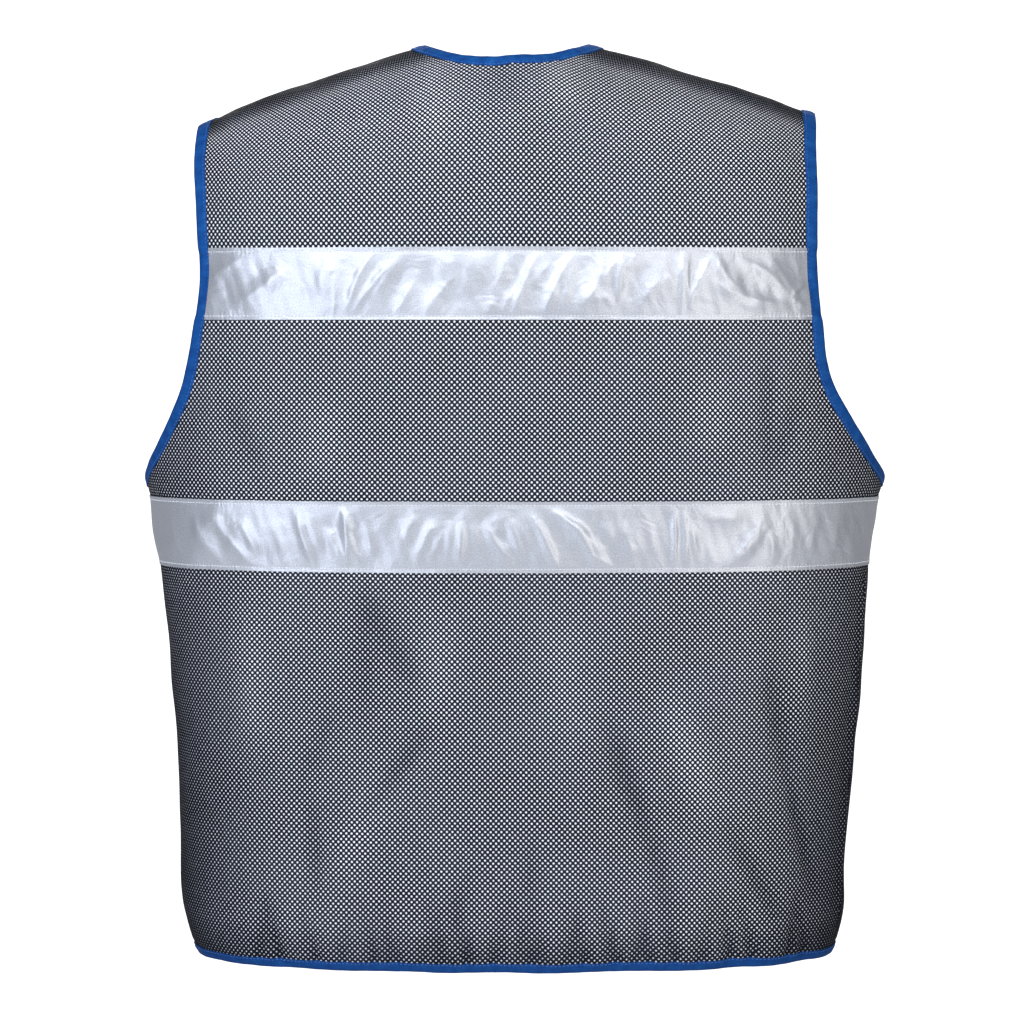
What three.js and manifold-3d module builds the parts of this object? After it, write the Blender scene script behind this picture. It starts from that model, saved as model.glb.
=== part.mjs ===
// A cooling vest for work, in the form that it takes when it is worn. Each panel is a padded
// sandwich of open knit over a wadding that holds water. Silver tape goes round chest and waist,
// bias tape binds every raw edge, and a zip closes the front.
// Millimetres. The origin is where the shoulders carry the vest, level with the neck end of the
// shoulder line. +X is the wearer's left, +Y the wearer's back and +Z is up.
import * as THREE from 'three';
import Module from 'manifold-3d';

const wasm = await Module();
wasm.setup();

// Driving sizes of the body
const bodyLength = 652;
const chestHalfWidth = 268;
const backDepth = 128;
const frontDepth = 124;
const bladeDrop = 150;
const squareness = 0.03;

// Driving sizes of the shoulders, neck and armholes
const shoulderHalfWidth = 220;
const shoulderDrop = 46;
const seamForward = 16;
const underarmDrop = 306;
const scoopHeight = 95;
const scoopFullness = 1.85;
const acrossBackHalfWidth = 222;
const acrossFrontHalfWidth = 207;
const neckHalfWidth = 61.5;
const neckShift = 3.2;
const neckBackDepth = 72;
const neckFrontDrop = 124;
const neckFall = 1.5;
const neckFullness = 0.75;

// Cloth, tapes, bindings and the zip
const panelThickness = 3;
const hemFoldDepth = 3;
const bindingWidth = 9;
const bindingThickness = 1;
const bindingFoldRounding = 0.2;
const tapeHeight = 50;
const tapeThickness = 1;
const chestTapeDrop = 143;
const waistTapeDrop = 320;
const zipOpening = 8;
const zipTapeWidth = 24;
const zipTapeThickness = 1;
const zipCoilWidth = 5.2;
const zipCoilSink = 0.4;
const sliderWidth = 6.8;
const sliderLength = 11;
const sliderHeight = 4;
const sliderSink = 1;
const sliderTopMargin = 1;
const pullWidth = 5;
const pullLength = 26;
const pullThickness = 1.6;
const pullSetback = 3;
const pullSink = 0.4;

// Clearances
const clothGap = 0.3;
const seamGap = 0.3;
const tapeEndGap = 0.4;
const zipClearance = 0.6;
const zipEndClearance = 2.5;

// How finely each panel is divided
const panelColumns = 10;
const scoopColumns = 3;
const scoopSteps = 6;
const runSteps = 10;
const yokeRows = 3;
const neckColumns = 3;
const lowerRows = 8;
const zipRows = 5;
const chestRowLift = 0.2;
const hemCrowding = 1.3;

// Cross-sections from the blades down: down is a share of the body length, left and right of the
// half chest, back and front of their depths. The hem is drawn in by its binding.
const bodySections = [
  { down: 0.2, left: 0.943, right: 0.943, back: 1, front: 0.95 },
  { down: 0.23, left: 0.943, right: 0.943, back: 1, front: 0.95 },
  { down: 0.353, left: 0.974, right: 0.975, back: 1.01, front: 0.99 },
  { down: 0.47, left: 0.993, right: 1.009, back: 0.985, front: 1 },
  { down: 0.497, left: 0.983, right: 0.994, back: 0.975, front: 1 },
  { down: 0.52, left: 0.976, right: 0.985, back: 0.966, front: 1 },
  { down: 0.562, left: 0.96, right: 0.971, back: 0.953, front: 0.993 },
  { down: 0.61, left: 0.948, right: 0.967, back: 0.94, front: 0.985 },
  { down: 0.7, left: 0.926, right: 0.953, back: 0.93, front: 0.97 },
  { down: 0.79, left: 0.912, right: 0.932, back: 0.935, front: 0.965 },
  { down: 0.878, left: 0.906, right: 0.914, back: 0.945, front: 0.96 },
  { down: 0.945, left: 0.898, right: 0.905, back: 0.935, front: 0.95 },
  { down: 0.968, left: 0.886, right: 0.896, back: 0.92, front: 0.935 },
  { down: 1, left: 0.858, right: 0.876, back: 0.885, front: 0.9 },
];

// The top of the shoulders: out is a share of the half shoulder width, left and right how far the
// line has dropped as a share of the shoulder drop. It rises under the neck, which is cut away.
const shoulderLine = [
  { out: 0, left: -0.478, right: -0.478 },
  { out: 0.18, left: -0.26, right: -0.25 },
  { out: 0.32, left: -0.065, right: -0.04 },
  { out: 0.445, left: 0.095, right: 0.1 },
  { out: 0.645, left: 0.415, right: 0.395 },
  { out: 0.845, left: 0.735, right: 0.69 },
  { out: 1, left: 1.06, right: 0.97 },
  { out: 1.2, left: 1.5, right: 1.28 },
];

// Armhole edges above the underarm scoop: up is a share of the way from underarm to shoulder
// seam, the others are shares of the half width across the back or the front at blade height.
const armholeRun = [
  { up: 0, backLeft: 0.998, backRight: 0.965, frontLeft: 1.02, frontRight: 1.0 },
  { up: 0.27, backLeft: 0.998, backRight: 0.967, frontLeft: 1.0, frontRight: 0.98 },
  { up: 0.405, backLeft: 0.992, backRight: 0.971, frontLeft: 0.995, frontRight: 0.975 },
  { up: 0.54, backLeft: 1.0, backRight: 0.969, frontLeft: 0.995, frontRight: 0.975 },
  { up: 0.71, backLeft: 1.016, backRight: 0.972, frontLeft: 1.01, frontRight: 0.985 },
  { up: 0.85, backLeft: 1.016, backRight: 0.98, frontLeft: 1.04, frontRight: 1.01 },
];

// The outer end of each shoulder, as a share of the half width across the back, and how far up
// the armhole's run the edge has reached it.
const shoulderTips = { left: 0.998, right: 0.984, reached: 0.95 };

// Soft folds where the hem binding gathers the cloth: around is a share of the way from the
// middle to the side seam, plus to the left, width likewise, depth a share of the fold depth
// and rise how far up the fold fades, as a share of the body length.
const hemFolds = [
  { face: 1, around: 0.42, width: 0.11, depth: 0.8, rise: 0.16 },
  { face: 1, around: 0.2, width: 0.1, depth: 0.7, rise: 0.3 },
  { face: 1, around: 0.03, width: 0.09, depth: 0.8, rise: 0.14 },
  { face: 1, around: -0.2, width: 0.12, depth: 1, rise: 0.4 },
  { face: 1, around: -0.44, width: 0.1, depth: 0.9, rise: 0.2 },
  { face: 1, around: -0.66, width: 0.12, depth: 1, rise: 0.42 },
  { face: -1, around: 0.3, width: 0.14, depth: 0.9, rise: 0.25 },
  { face: -1, around: 0.62, width: 0.14, depth: 0.8, rise: 0.35 },
  { face: -1, around: -0.34, width: 0.14, depth: 0.8, rise: 0.3 },
  { face: -1, around: -0.64, width: 0.13, depth: 0.9, rise: 0.22 },
];

const back = 1;
const front = -1;
const left = 1;
const right = -1;
const quarterTurn = Math.PI / 2;
const bladeHeight = -bladeDrop;
const hemHeight = -bodyLength;
const underarmHeight = -underarmDrop;
const chestRowHeight = underarmHeight + chestRowLift * scoopHeight;
const zipEdge = zipOpening / 2;

// A smooth curve through one column of a table, which never swings past its rows.
function smoothCurve(rows, key, column) {
  const last = rows.length - 1;
  const steepness = (i) =>
    (rows[i + 1][column] - rows[i][column]) / (rows[i + 1][key] - rows[i][key]);
  const slopes = rows.map((row, i) => {
    if (i === 0) return steepness(0);
    if (i === last) return steepness(last - 1);
    const before = steepness(i - 1);
    const after = steepness(i);
    return before * after <= 0 ? 0 : (2 * before * after) / (before + after);
  });
  return (at) => {
    const place = Math.min(Math.max(at, rows[0][key]), rows[last][key]);
    let i = 0;
    while (i < last - 1 && place > rows[i + 1][key]) i += 1;
    const width = rows[i + 1][key] - rows[i][key];
    const t = (place - rows[i][key]) / width;
    const ease = t * t * (3 - 2 * t);
    const start = t * (1 - t) * (1 - t) * slopes[i] * width;
    const end = t * t * (t - 1) * slopes[i + 1] * width;
    return rows[i][column] * (1 - ease) + rows[i + 1][column] * ease + start + end;
  };
}

const leftShare = smoothCurve(bodySections, 'down', 'left');
const rightShare = smoothCurve(bodySections, 'down', 'right');
const backShare = smoothCurve(bodySections, 'down', 'back');
const frontShare = smoothCurve(bodySections, 'down', 'front');

// The shoulder line as one curve from the right tip to the left one, level across the middle.
const wholeShoulderLine = [
  ...shoulderLine.slice(1).reverse().map((row) => ({ out: -row.out, drop: row.right })),
  ...shoulderLine.map((row) => ({ out: row.out, drop: row.left })),
];
const dropShare = smoothCurve(wholeShoulderLine, 'out', 'drop');

const halfWidthAt = (hand, height) =>
  chestHalfWidth * (hand > 0 ? leftShare : rightShare)(-height / bodyLength);
const depthAt = (face, height) =>
  face > 0 ? backDepth * backShare(-height / bodyLength) : frontDepth * frontShare(-height / bodyLength);
const ridgeHeight = (x) => -shoulderDrop * dropShare(x / shoulderHalfWidth);

// A cross-section is a soft rounded rectangle, with its angle counted from the middle of the
// back or front to the side seam at a quarter turn.
const across = (angle) =>
  (Math.sin(angle) + squareness * Math.sin(3 * angle)) / (1 - squareness);
const fore = (angle) =>
  (Math.cos(angle) - squareness * Math.cos(3 * angle)) / (1 - squareness);

function angleForShare(share) {
  let low = 0;
  let high = quarterTurn;
  for (let i = 0; i < 40; i += 1) {
    const middle = (low + high) / 2;
    if (across(middle) < Math.abs(share)) low = middle;
    else high = middle;
  }
  return Math.sign(share) * low;
}

const angleForX = (x, height) =>
  angleForShare(x / halfWidthAt(Math.sign(x), Math.min(height, bladeHeight)));

// A quarter of an ellipse's length, after Ramanujan.
function quarterLength(a, b) {
  return (Math.PI / 4) * (3 * (a + b) - Math.sqrt((3 * a + b) * (a + 3 * b)));
}

// The form without its folds. Up to the blades, climb is the height. Above them it goes on along
// the cloth, over the shoulder and down the other side.
function plainForm(face, angle, climb) {
  const hand = angle < 0 ? right : left;
  if (climb <= bladeHeight) {
    const x = halfWidthAt(hand, climb) * across(angle);
    return new THREE.Vector3(x, face * depthAt(face, climb) * fore(angle), climb);
  }
  const x = halfWidthAt(hand, bladeHeight) * across(angle);
  const rise = ridgeHeight(x) - bladeHeight;
  const reach = depthAt(face, bladeHeight) * fore(angle);
  const length = quarterLength(reach, rise);
  const turn = (climb - bladeHeight) / length;
  if (turn <= 1) {
    const y = face * reach * Math.cos(turn * quarterTurn);
    return new THREE.Vector3(x, y, bladeHeight + rise * Math.sin(turn * quarterTurn));
  }
  const farReach = depthAt(-face, bladeHeight) * fore(angle);
  const farTurn = ((turn - 1) * length) / quarterLength(farReach, rise);
  const y = -face * farReach * Math.sin(farTurn * quarterTurn);
  return new THREE.Vector3(x, y, bladeHeight + rise * Math.cos(farTurn * quarterTurn));
}

function outwardNormal(form, face, angle, climb) {
  const angleStep = 0.002;
  const climbStep = 0.5;
  const sideways = form(face, angle + angleStep, climb).sub(form(face, angle - angleStep, climb));
  const upward = form(face, angle, climb + climbStep).sub(form(face, angle, climb - climbStep));
  return sideways.cross(upward).multiplyScalar(-face).normalize();
}

function foldDepth(face, angle, climb) {
  const around = angle / quarterTurn;
  let depth = 0;
  for (const fold of hemFolds) {
    const off = Math.abs(around - fold.around) / fold.width;
    const up = (climb - hemHeight) / (fold.rise * bodyLength);
    if (fold.face === face && off < 1 && up < 1) {
      depth += fold.depth * Math.cos(off * quarterTurn) ** 2 * (1 - up) ** 2;
    }
  }
  return hemFoldDepth * depth;
}

// The outer face of the cloth, with its folds.
function form(face, angle, climb) {
  const point = plainForm(face, angle, climb);
  const depth = foldDepth(face, angle, climb);
  if (depth === 0) return point;
  return point.addScaledVector(outwardNormal(plainForm, face, angle, climb), -depth);
}

// A station is a place on the form: its face, angle and climb, and the seam that it lies on.
const station = (face, angle, climb, seam = null) => ({ face, angle, climb, seam });
const pointAt = (at) => form(at.face, at.angle, at.climb);
const normalAt = (at) => outwardNormal(form, at.face, at.angle, at.climb);

// The shoulder seam lies a little in front of the ridge.
function shoulderSeam(face, x) {
  const angle = angleForX(x, bladeHeight);
  const rise = ridgeHeight(x) - bladeHeight;
  const reach = depthAt(face, bladeHeight) * fore(angle);
  const length = quarterLength(reach, rise);
  if (face === front) {
    const turn = Math.acos(seamForward / reach) / quarterTurn;
    return station(front, angle, bladeHeight + length * turn, 'shoulder');
  }
  const farReach = depthAt(front, bladeHeight) * fore(angle);
  const farTurn = Math.asin(seamForward / farReach) / quarterTurn;
  const climb = bladeHeight + length + farTurn * quarterLength(farReach, rise);
  return station(back, angle, climb, 'shoulder');
}

// The place on the form that lies a given way from a station, along a direction in the cloth.
function stepFrom(at, direction, distance) {
  const target = pointAt(at).addScaledVector(direction, distance);
  let { angle, climb } = at;
  for (let i = 0; i < 4; i += 1) {
    const angleStep = 0.001;
    const climbStep = 0.25;
    const here = form(at.face, angle, climb);
    const sideways = form(at.face, angle + angleStep, climb).sub(here).divideScalar(angleStep);
    const upward = form(at.face, angle, climb + climbStep).sub(here).divideScalar(climbStep);
    const miss = target.clone().sub(here);
    const a = sideways.dot(sideways);
    const b = sideways.dot(upward);
    const c = upward.dot(upward);
    const along = sideways.dot(miss);
    const up = upward.dot(miss);
    const scale = a * c - b * b;
    angle += (c * along - b * up) / scale;
    climb += (a * up - b * along) / scale;
  }
  return station(at.face, angle, climb);
}

// The inner line of a binding: each edge station stepped one binding width into the panel.
// turn says on which side of the edge the panel lies.
function innerLine(edge, turn) {
  return edge.map((at, i) => {
    const before = pointAt(edge[Math.max(i - 1, 0)]);
    const after = pointAt(edge[Math.min(i + 1, edge.length - 1)]);
    const inward = normalAt(at).cross(after.sub(before).normalize()).multiplyScalar(turn);
    return stepFrom(at, inward, bindingWidth);
  });
}

// The place on the shoulder seam one binding width from another, towards larger or smaller x.
function seamStep(face, x, direction) {
  const start = pointAt(shoulderSeam(face, x));
  let step = direction * bindingWidth;
  for (let i = 0; i < 4; i += 1) {
    step *= bindingWidth / pointAt(shoulderSeam(face, x + step)).distanceTo(start);
  }
  return shoulderSeam(face, x + step);
}

const sideName = (face, hand) => (face > 0 ? 'back' : 'front') + (hand > 0 ? 'Left' : 'Right');
const shoulderTip = (hand) =>
  hand * acrossBackHalfWidth * (hand > 0 ? shoulderTips.left : shoulderTips.right);

// An armhole edge from the underarm up to the shoulder seam, with the line inside it.
function armholeStrip(face, hand) {
  const column = sideName(face, hand);
  const fullWidth = face > 0 ? acrossBackHalfWidth : acrossFrontHalfWidth;
  const tip = shoulderTip(hand);
  const top = shoulderSeam(face, tip);
  const rows = armholeRun.map((row) => ({ up: row.up, x: fullWidth * row[column] }));
  const tipRows = [shoulderTips.reached, 1].map((up) => ({ up, x: Math.abs(tip) }));
  const widthCurve = smoothCurve([...rows, ...tipRows], 'up', 'x');
  const climbAt = (up) => underarmHeight + up * (top.climb - underarmHeight);
  const scoopShare = scoopHeight / (top.climb - underarmHeight);
  const edge = [];
  for (let i = 0; i <= scoopSteps; i += 1) {
    const swing = (quarterTurn * i) / scoopSteps;
    const inset = Math.sin(swing) ** (2 / scoopFullness);
    const up = scoopShare * (1 - Math.cos(swing) ** (2 / scoopFullness));
    const columnAngle = Math.abs(angleForX(hand * widthCurve(up), bladeHeight));
    const angle = quarterTurn - (quarterTurn - columnAngle) * inset;
    edge.push(station(face, hand * angle, climbAt(up), i === 0 ? 'side' : null));
  }
  for (let i = 1; i <= runSteps; i += 1) {
    const up = scoopShare + ((1 - scoopShare) * i) / runSteps;
    edge.push(station(face, angleForX(hand * widthCurve(up), bladeHeight), climbAt(up)));
  }
  edge[edge.length - 1] = top;
  const inner = innerLine(edge, -face * hand);
  inner[0] = station(face, hand * quarterTurn, underarmHeight - bindingWidth, 'side');
  inner[inner.length - 1] = seamStep(face, tip, -hand);
  return { edge, inner };
}

// The front neckline: a soft V from the ridge down to the zip, by the share of the way down.
function frontNeckX(hand, share) {
  const ridgeX = neckShift + hand * neckHalfWidth;
  const narrowing = (1 - share ** neckFall) ** neckFullness;
  return hand * (zipEdge + (Math.abs(ridgeX) - zipEdge) * narrowing);
}

function frontNeckStation(hand, share) {
  const x = frontNeckX(hand, share);
  const angle = angleForX(x, bladeHeight);
  const rise = ridgeHeight(x) - bladeHeight;
  const length = quarterLength(depthAt(front, bladeHeight) * fore(angle), rise);
  const lowTurn = Math.asin((bladeDrop - neckFrontDrop) / rise) / quarterTurn;
  const turn = 1 + (lowTurn - 1) * share;
  return station(front, angle, bladeHeight + length * turn);
}

// Where the neckline crosses the shoulder seam.
function neckSeamShare(hand) {
  let low = 0;
  let high = 0.5;
  for (let i = 0; i < 40; i += 1) {
    const middle = (low + high) / 2;
    if (-pointAt(frontNeckStation(hand, middle)).y < seamForward) low = middle;
    else high = middle;
  }
  return low;
}

function backNeckStation(turn) {
  const x = neckShift + neckHalfWidth * Math.cos(turn);
  const y = neckBackDepth * Math.sin(turn);
  const angle = angleForX(x, bladeHeight);
  const reach = depthAt(back, bladeHeight) * fore(angle);
  const length = quarterLength(reach, ridgeHeight(x) - bladeHeight);
  const share = Math.acos(Math.min(y / reach, 1)) / quarterTurn;
  return station(back, angle, bladeHeight + length * share);
}

// Half of the back neckline, from the middle of the back to the shoulder seam.
function backNeckStrip(hand) {
  const middleTurn = Math.acos(-neckShift / neckHalfWidth);
  const endTurn = hand > 0 ? 0 : Math.PI;
  const sideTurn = (middleTurn + endTurn) / 2;
  const edge = [];
  for (let i = 0; i <= neckColumns; i += 1) {
    edge.push(backNeckStation(middleTurn + ((sideTurn - middleTurn) * i) / neckColumns));
  }
  for (let i = 1; i < yokeRows; i += 1) {
    edge.push(backNeckStation(sideTurn + ((endTurn - sideTurn) * i) / (yokeRows - 1)));
  }
  const seamX = frontNeckX(hand, neckSeamShare(hand));
  edge.push(shoulderSeam(back, seamX));
  const inner = innerLine(edge, hand);
  const middleStep = stepFrom(edge[0], new THREE.Vector3(0, 0, -1), bindingWidth);
  inner[0] = station(back, 0, middleStep.climb);
  inner[inner.length - 1] = seamStep(back, seamX, hand);
  return { edge, inner };
}

// Half of the front neckline, from the zip up to the shoulder seam.
function frontNeckStrip(hand) {
  const seamShare = neckSeamShare(hand);
  const steps = scoopSteps - scoopColumns + runSteps - zipRows;
  const edge = [];
  for (let i = 0; i < steps; i += 1) {
    edge.push(frontNeckStation(hand, 1 + ((seamShare - 1) * i) / steps));
  }
  const seamX = frontNeckX(hand, seamShare);
  edge.push(shoulderSeam(front, seamX));
  const inner = innerLine(edge, -hand);
  const start = pointAt(edge[0]);
  const along = pointAt(edge[1]).sub(start).normalize();
  const lowClimb = edge[0].climb - bindingWidth / Math.abs(along.x);
  inner[0] = station(front, angleForX(hand * zipEdge, lowClimb), lowClimb);
  inner[inner.length - 1] = seamStep(front, seamX, hand);
  return { edge, inner };
}

// Half of the hem, from the middle of the back or the zip edge to the side seam.
function hemStrip(face, hand) {
  const steps = panelColumns + scoopColumns;
  const lineAt = (climb) => {
    const start = face > 0 ? 0 : angleForX(hand * zipEdge, climb);
    const line = [];
    for (let i = 0; i <= steps; i += 1) {
      const angle = start + ((hand * quarterTurn - start) * i) / steps;
      line.push(station(face, angle, climb, i === steps ? 'side' : null));
    }
    return line;
  };
  return { edge: lineAt(hemHeight), inner: lineAt(hemHeight + bindingWidth) };
}

const between = (from, to, share) =>
  station(
    from.face,
    from.angle + (to.angle - from.angle) * share,
    from.climb + (to.climb - from.climb) * share,
  );

function lineBetween(from, to, steps) {
  const line = [from];
  for (let i = 1; i < steps; i += 1) line.push(between(from, to, i / steps));
  line.push(to);
  return line;
}

// A grid of stations blended from its four border lines, as a list of rows.
function patch(bottom, top, start, end) {
  const columns = bottom.length - 1;
  const rows = start.length - 1;
  const blend = (key, i, j) => {
    const u = i / columns;
    const v = j / rows;
    const upDown = (1 - v) * bottom[i][key] + v * top[i][key];
    const sideways = (1 - u) * start[j][key] + u * end[j][key];
    const low = (1 - u) * bottom[0][key] + u * bottom[columns][key];
    const high = (1 - u) * top[0][key] + u * top[columns][key];
    return upDown + sideways - (1 - v) * low - v * high;
  };
  return start.map((startAt, j) =>
    bottom.map((bottomAt, i) => {
      if (j === 0) return bottom[i];
      if (j === rows) return top[i];
      if (i === 0) return startAt;
      if (i === columns) return end[j];
      return station(startAt.face, blend('angle', i, j), blend('climb', i, j));
    }),
  );
}

// Rows crowd a little towards the hem, where the folds are.
const hemwardShare = (share) => share ** hemCrowding;

function columnUp(from, to, steps, seam, angleAt) {
  const column = [from];
  for (let i = 1; i < steps; i += 1) {
    const climb = from.climb + (to.climb - from.climb) * hemwardShare(i / steps);
    column.push(station(from.face, angleAt(climb), climb, seam));
  }
  column.push(to);
  return column;
}

// One half of the back or one front panel, as patches that share their border stations.
function halfPanel(face, hand) {
  const armhole = armholeStrip(face, hand);
  const neck = face > 0 ? backNeckStrip(hand) : frontNeckStrip(hand);
  const hem = hemStrip(face, hand);
  const middleAngle = (climb) => (face > 0 ? 0 : angleForX(hand * zipEdge, climb));
  const sideAngle = () => hand * quarterTurn;

  const corner = armhole.inner[scoopColumns];
  const middleLow = station(face, middleAngle(chestRowHeight), chestRowHeight);
  const chestRow = [
    ...lineBetween(middleLow, corner, panelColumns),
    ...armhole.inner.slice(0, scoopColumns).reverse(),
  ];
  const lowerMiddle = columnUp(hem.inner[0], middleLow, lowerRows, null, middleAngle);
  const lowerSide = columnUp(
    hem.inner[hem.inner.length - 1], armhole.inner[0], lowerRows, 'side', sideAngle,
  );
  const patches = [patch(hem.inner, chestRow, lowerMiddle, lowerSide)];
  const armholeSide = armhole.inner.slice(scoopColumns);
  const upperBottom = chestRow.slice(0, panelColumns + 1);
  const seamLine = (neckAt, columns) => {
    const from = pointAt(neckAt).x;
    const to = pointAt(armhole.inner[armhole.inner.length - 1]).x;
    const line = [neckAt];
    for (let i = 1; i < columns; i += 1) {
      line.push(shoulderSeam(face, from + ((to - from) * i) / columns));
    }
    line.push(armhole.inner[armhole.inner.length - 1]);
    return line;
  };
  if (face === back) {
    const upperRows = armholeSide.length - 1 - yokeRows;
    const yokeColumns = panelColumns - neckColumns;
    const neckCorner = neck.inner[neckColumns];
    const yokeBottom = lineBetween(neckCorner, armholeSide[upperRows], yokeColumns);
    const upperTop = [...neck.inner.slice(0, neckColumns), ...yokeBottom];
    const upperMiddle = lineBetween(middleLow, neck.inner[0], upperRows);
    patches.push(patch(upperBottom, upperTop, upperMiddle, armholeSide.slice(0, upperRows + 1)));
    const neckSide = neck.inner.slice(neckColumns);
    const yokeTop = seamLine(neckSide[neckSide.length - 1], yokeColumns);
    patches.push(patch(yokeBottom, yokeTop, neckSide, armholeSide.slice(upperRows)));
  } else {
    const zipSide = [];
    for (let i = 0; i < zipRows; i += 1) {
      const climb = middleLow.climb + ((neck.inner[0].climb - middleLow.climb) * i) / zipRows;
      zipSide.push(station(face, middleAngle(climb), climb));
    }
    zipSide[0] = middleLow;
    const upperInner = [...zipSide, ...neck.inner];
    const seamTop = seamLine(neck.inner[neck.inner.length - 1], panelColumns);
    patches.push(patch(upperBottom, seamTop, upperInner, armholeSide));
  }
  return { face, hand, patches, strips: { armhole, neck, hem }, zipColumn: lowerMiddle };
}

// The four-sided cells of a half panel: its patches, and the strips that the bindings cover.
function patchCells(half) {
  const cells = [];
  for (const rows of half.patches) {
    for (let j = 0; j + 1 < rows.length; j += 1) {
      for (let i = 0; i + 1 < rows[j].length; i += 1) {
        cells.push({ corners: [rows[j][i], rows[j][i + 1], rows[j + 1][i + 1], rows[j + 1][i]] });
      }
    }
  }
  return cells;
}

function stripCells(half) {
  const cells = [];
  for (const { edge, inner } of Object.values(half.strips)) {
    for (let i = 0; i + 1 < edge.length; i += 1) {
      cells.push({ corners: [edge[i], inner[i], inner[i + 1], edge[i + 1]], split: 'first' });
    }
  }
  return cells;
}

// Moves a station that lies on a seam into its own panel by half of the seam gap.
function clearOfSeam(at) {
  if (at.seam === 'side') {
    const width = pointAt(at).distanceTo(form(at.face, at.angle * 0.999, at.climb));
    const shift = (at.angle * 0.001 * seamGap) / 2 / width;
    return station(at.face, at.angle - shift, at.climb);
  }
  if (at.seam === 'shoulder') return station(at.face, at.angle, at.climb - seamGap / 2);
  return at;
}

function geometryOf(points, triangles) {
  const geometry = new THREE.BufferGeometry();
  const flat = points.flatMap((point) => [point.x, point.y, point.z]);
  geometry.setAttribute('position', new THREE.Float32BufferAttribute(flat, 3));
  geometry.setIndex(triangles.flat());
  geometry.computeVertexNormals();
  return geometry;
}

// Closed cloth over the cells, from one offset of the form to another, with its rims.
function clothGeometry(cells, outerOffset, innerOffset) {
  const places = new Map();
  const bare = [];
  const outer = [];
  const inner = [];
  const indexOf = (at) => {
    const key = `${Math.round(at.angle * 1e6)} ${Math.round(at.climb * 1e4)}`;
    if (!places.has(key)) {
      const moved = clearOfSeam(at);
      const point = pointAt(moved);
      const normal = normalAt(moved);
      places.set(key, bare.length);
      bare.push({ point, normal });
      outer.push(point.clone().addScaledVector(normal, outerOffset));
      inner.push(point.clone().addScaledVector(normal, innerOffset));
    }
    return places.get(key);
  };
  const faces = [];
  for (const cell of cells) {
    const corner = cell.corners.map(indexOf);
    const at = corner.map((i) => bare[i].point);
    const firstLong = at[0].distanceTo(at[2]) > at[1].distanceTo(at[3]);
    const first = cell.split === 'first' || !firstLong;
    const halves = first ? [[0, 1, 2], [0, 2, 3]] : [[0, 1, 3], [1, 2, 3]];
    for (const half of halves) {
      const [a, b, c] = half.map((k) => corner[k]);
      if (a === b || b === c || c === a) continue;
      const facing = bare[b].point.clone().sub(bare[a].point);
      facing.cross(bare[c].point.clone().sub(bare[a].point));
      faces.push(facing.dot(bare[a].normal) > 0 ? [a, b, c] : [a, c, b]);
    }
  }
  const count = bare.length;
  const edges = new Set(faces.flatMap(([a, b, c]) => [`${a} ${b}`, `${b} ${c}`, `${c} ${a}`]));
  const triangles = [];
  for (const [a, b, c] of faces) {
    triangles.push([a, b, c], [a + count, c + count, b + count]);
    for (const [p, q] of [[a, b], [b, c], [c, a]]) {
      if (!edges.has(`${q} ${p}`)) triangles.push([q, p, p + count], [q, p + count, q + count]);
    }
  }
  return geometryOf([...outer, ...inner], triangles);
}

// Bias tape folded round an edge. Each run is a strip of a half panel, taken forwards or
// backwards, and the section is a U of ten points that clears the panel all round.
function bindingGeometry(runs, closed) {
  const sections = [];
  const forwards = [];
  for (const { strip, reversed } of runs) {
    const order = strip.edge.map((at, i) => i);
    if (reversed) order.reverse();
    order.forEach((i, step) => {
      const joint = step === 0 && sections.length > 0;
      if (!joint) sections.push({ edge: strip.edge[i], inner: strip.inner[i] });
      if (step > 0) forwards.push(!reversed);
    });
  }
  if (closed) sections.pop();
  const far = clothGap + bindingThickness;
  const near = clothGap;
  const points = [];
  for (const { edge, inner } of sections) {
    const edgePoint = pointAt(edge);
    const edgeNormal = normalAt(edge);
    const innerNormal = normalAt(inner);
    const reach = pointAt(inner).sub(edgePoint);
    const innerPoint = edgePoint.clone().addScaledVector(reach, 1 - tapeEndGap / reach.length());
    const away = reach.clone().negate();
    away.addScaledVector(edgeNormal, -away.dot(edgeNormal)).normalize();
    const atEdge = (out, up) =>
      edgePoint.clone().addScaledVector(away, out).addScaledVector(edgeNormal, up);
    const atInner = (up) => innerPoint.clone().addScaledVector(innerNormal, up);
    const under = -panelThickness;
    points.push(
      atInner(far), atEdge(0, far), atEdge(far, bindingFoldRounding),
      atEdge(far, under - bindingFoldRounding), atEdge(0, under - far), atInner(under - far),
      atInner(under - near), atEdge(near, under - near), atEdge(near, near), atInner(near),
    );
  }
  const ring = 10;
  const onEdge = [false, true, true, true, true, false, false, true, true, false];
  const triangles = [];
  const steps = closed ? sections.length : sections.length - 1;
  for (let i = 0; i < steps; i += 1) {
    const next = (i + 1) % sections.length;
    for (let k = 0; k < ring; k += 1) {
      const k2 = (k + 1) % ring;
      const a = i * ring + k;
      const b = i * ring + k2;
      const c = next * ring + k2;
      const d = next * ring + k;
      const fromEdge = forwards[i] ? onEdge[k] : !onEdge[k];
      if (fromEdge) triangles.push([a, b, c], [a, c, d]);
      else triangles.push([a, b, d], [b, c, d]);
    }
  }
  if (!closed) {
    const caps = [[0, 1, 8], [0, 8, 9], [1, 2, 8], [2, 3, 7], [2, 7, 8], [3, 4, 7], [4, 5, 6], [4, 6, 7]];
    const endStart = (sections.length - 1) * ring;
    for (const [a, b, c] of caps) {
      triangles.push([a, c, b], [a + endStart, b + endStart, c + endStart]);
    }
  }
  return outwardFacing(geometryOf(points, triangles));
}

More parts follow.
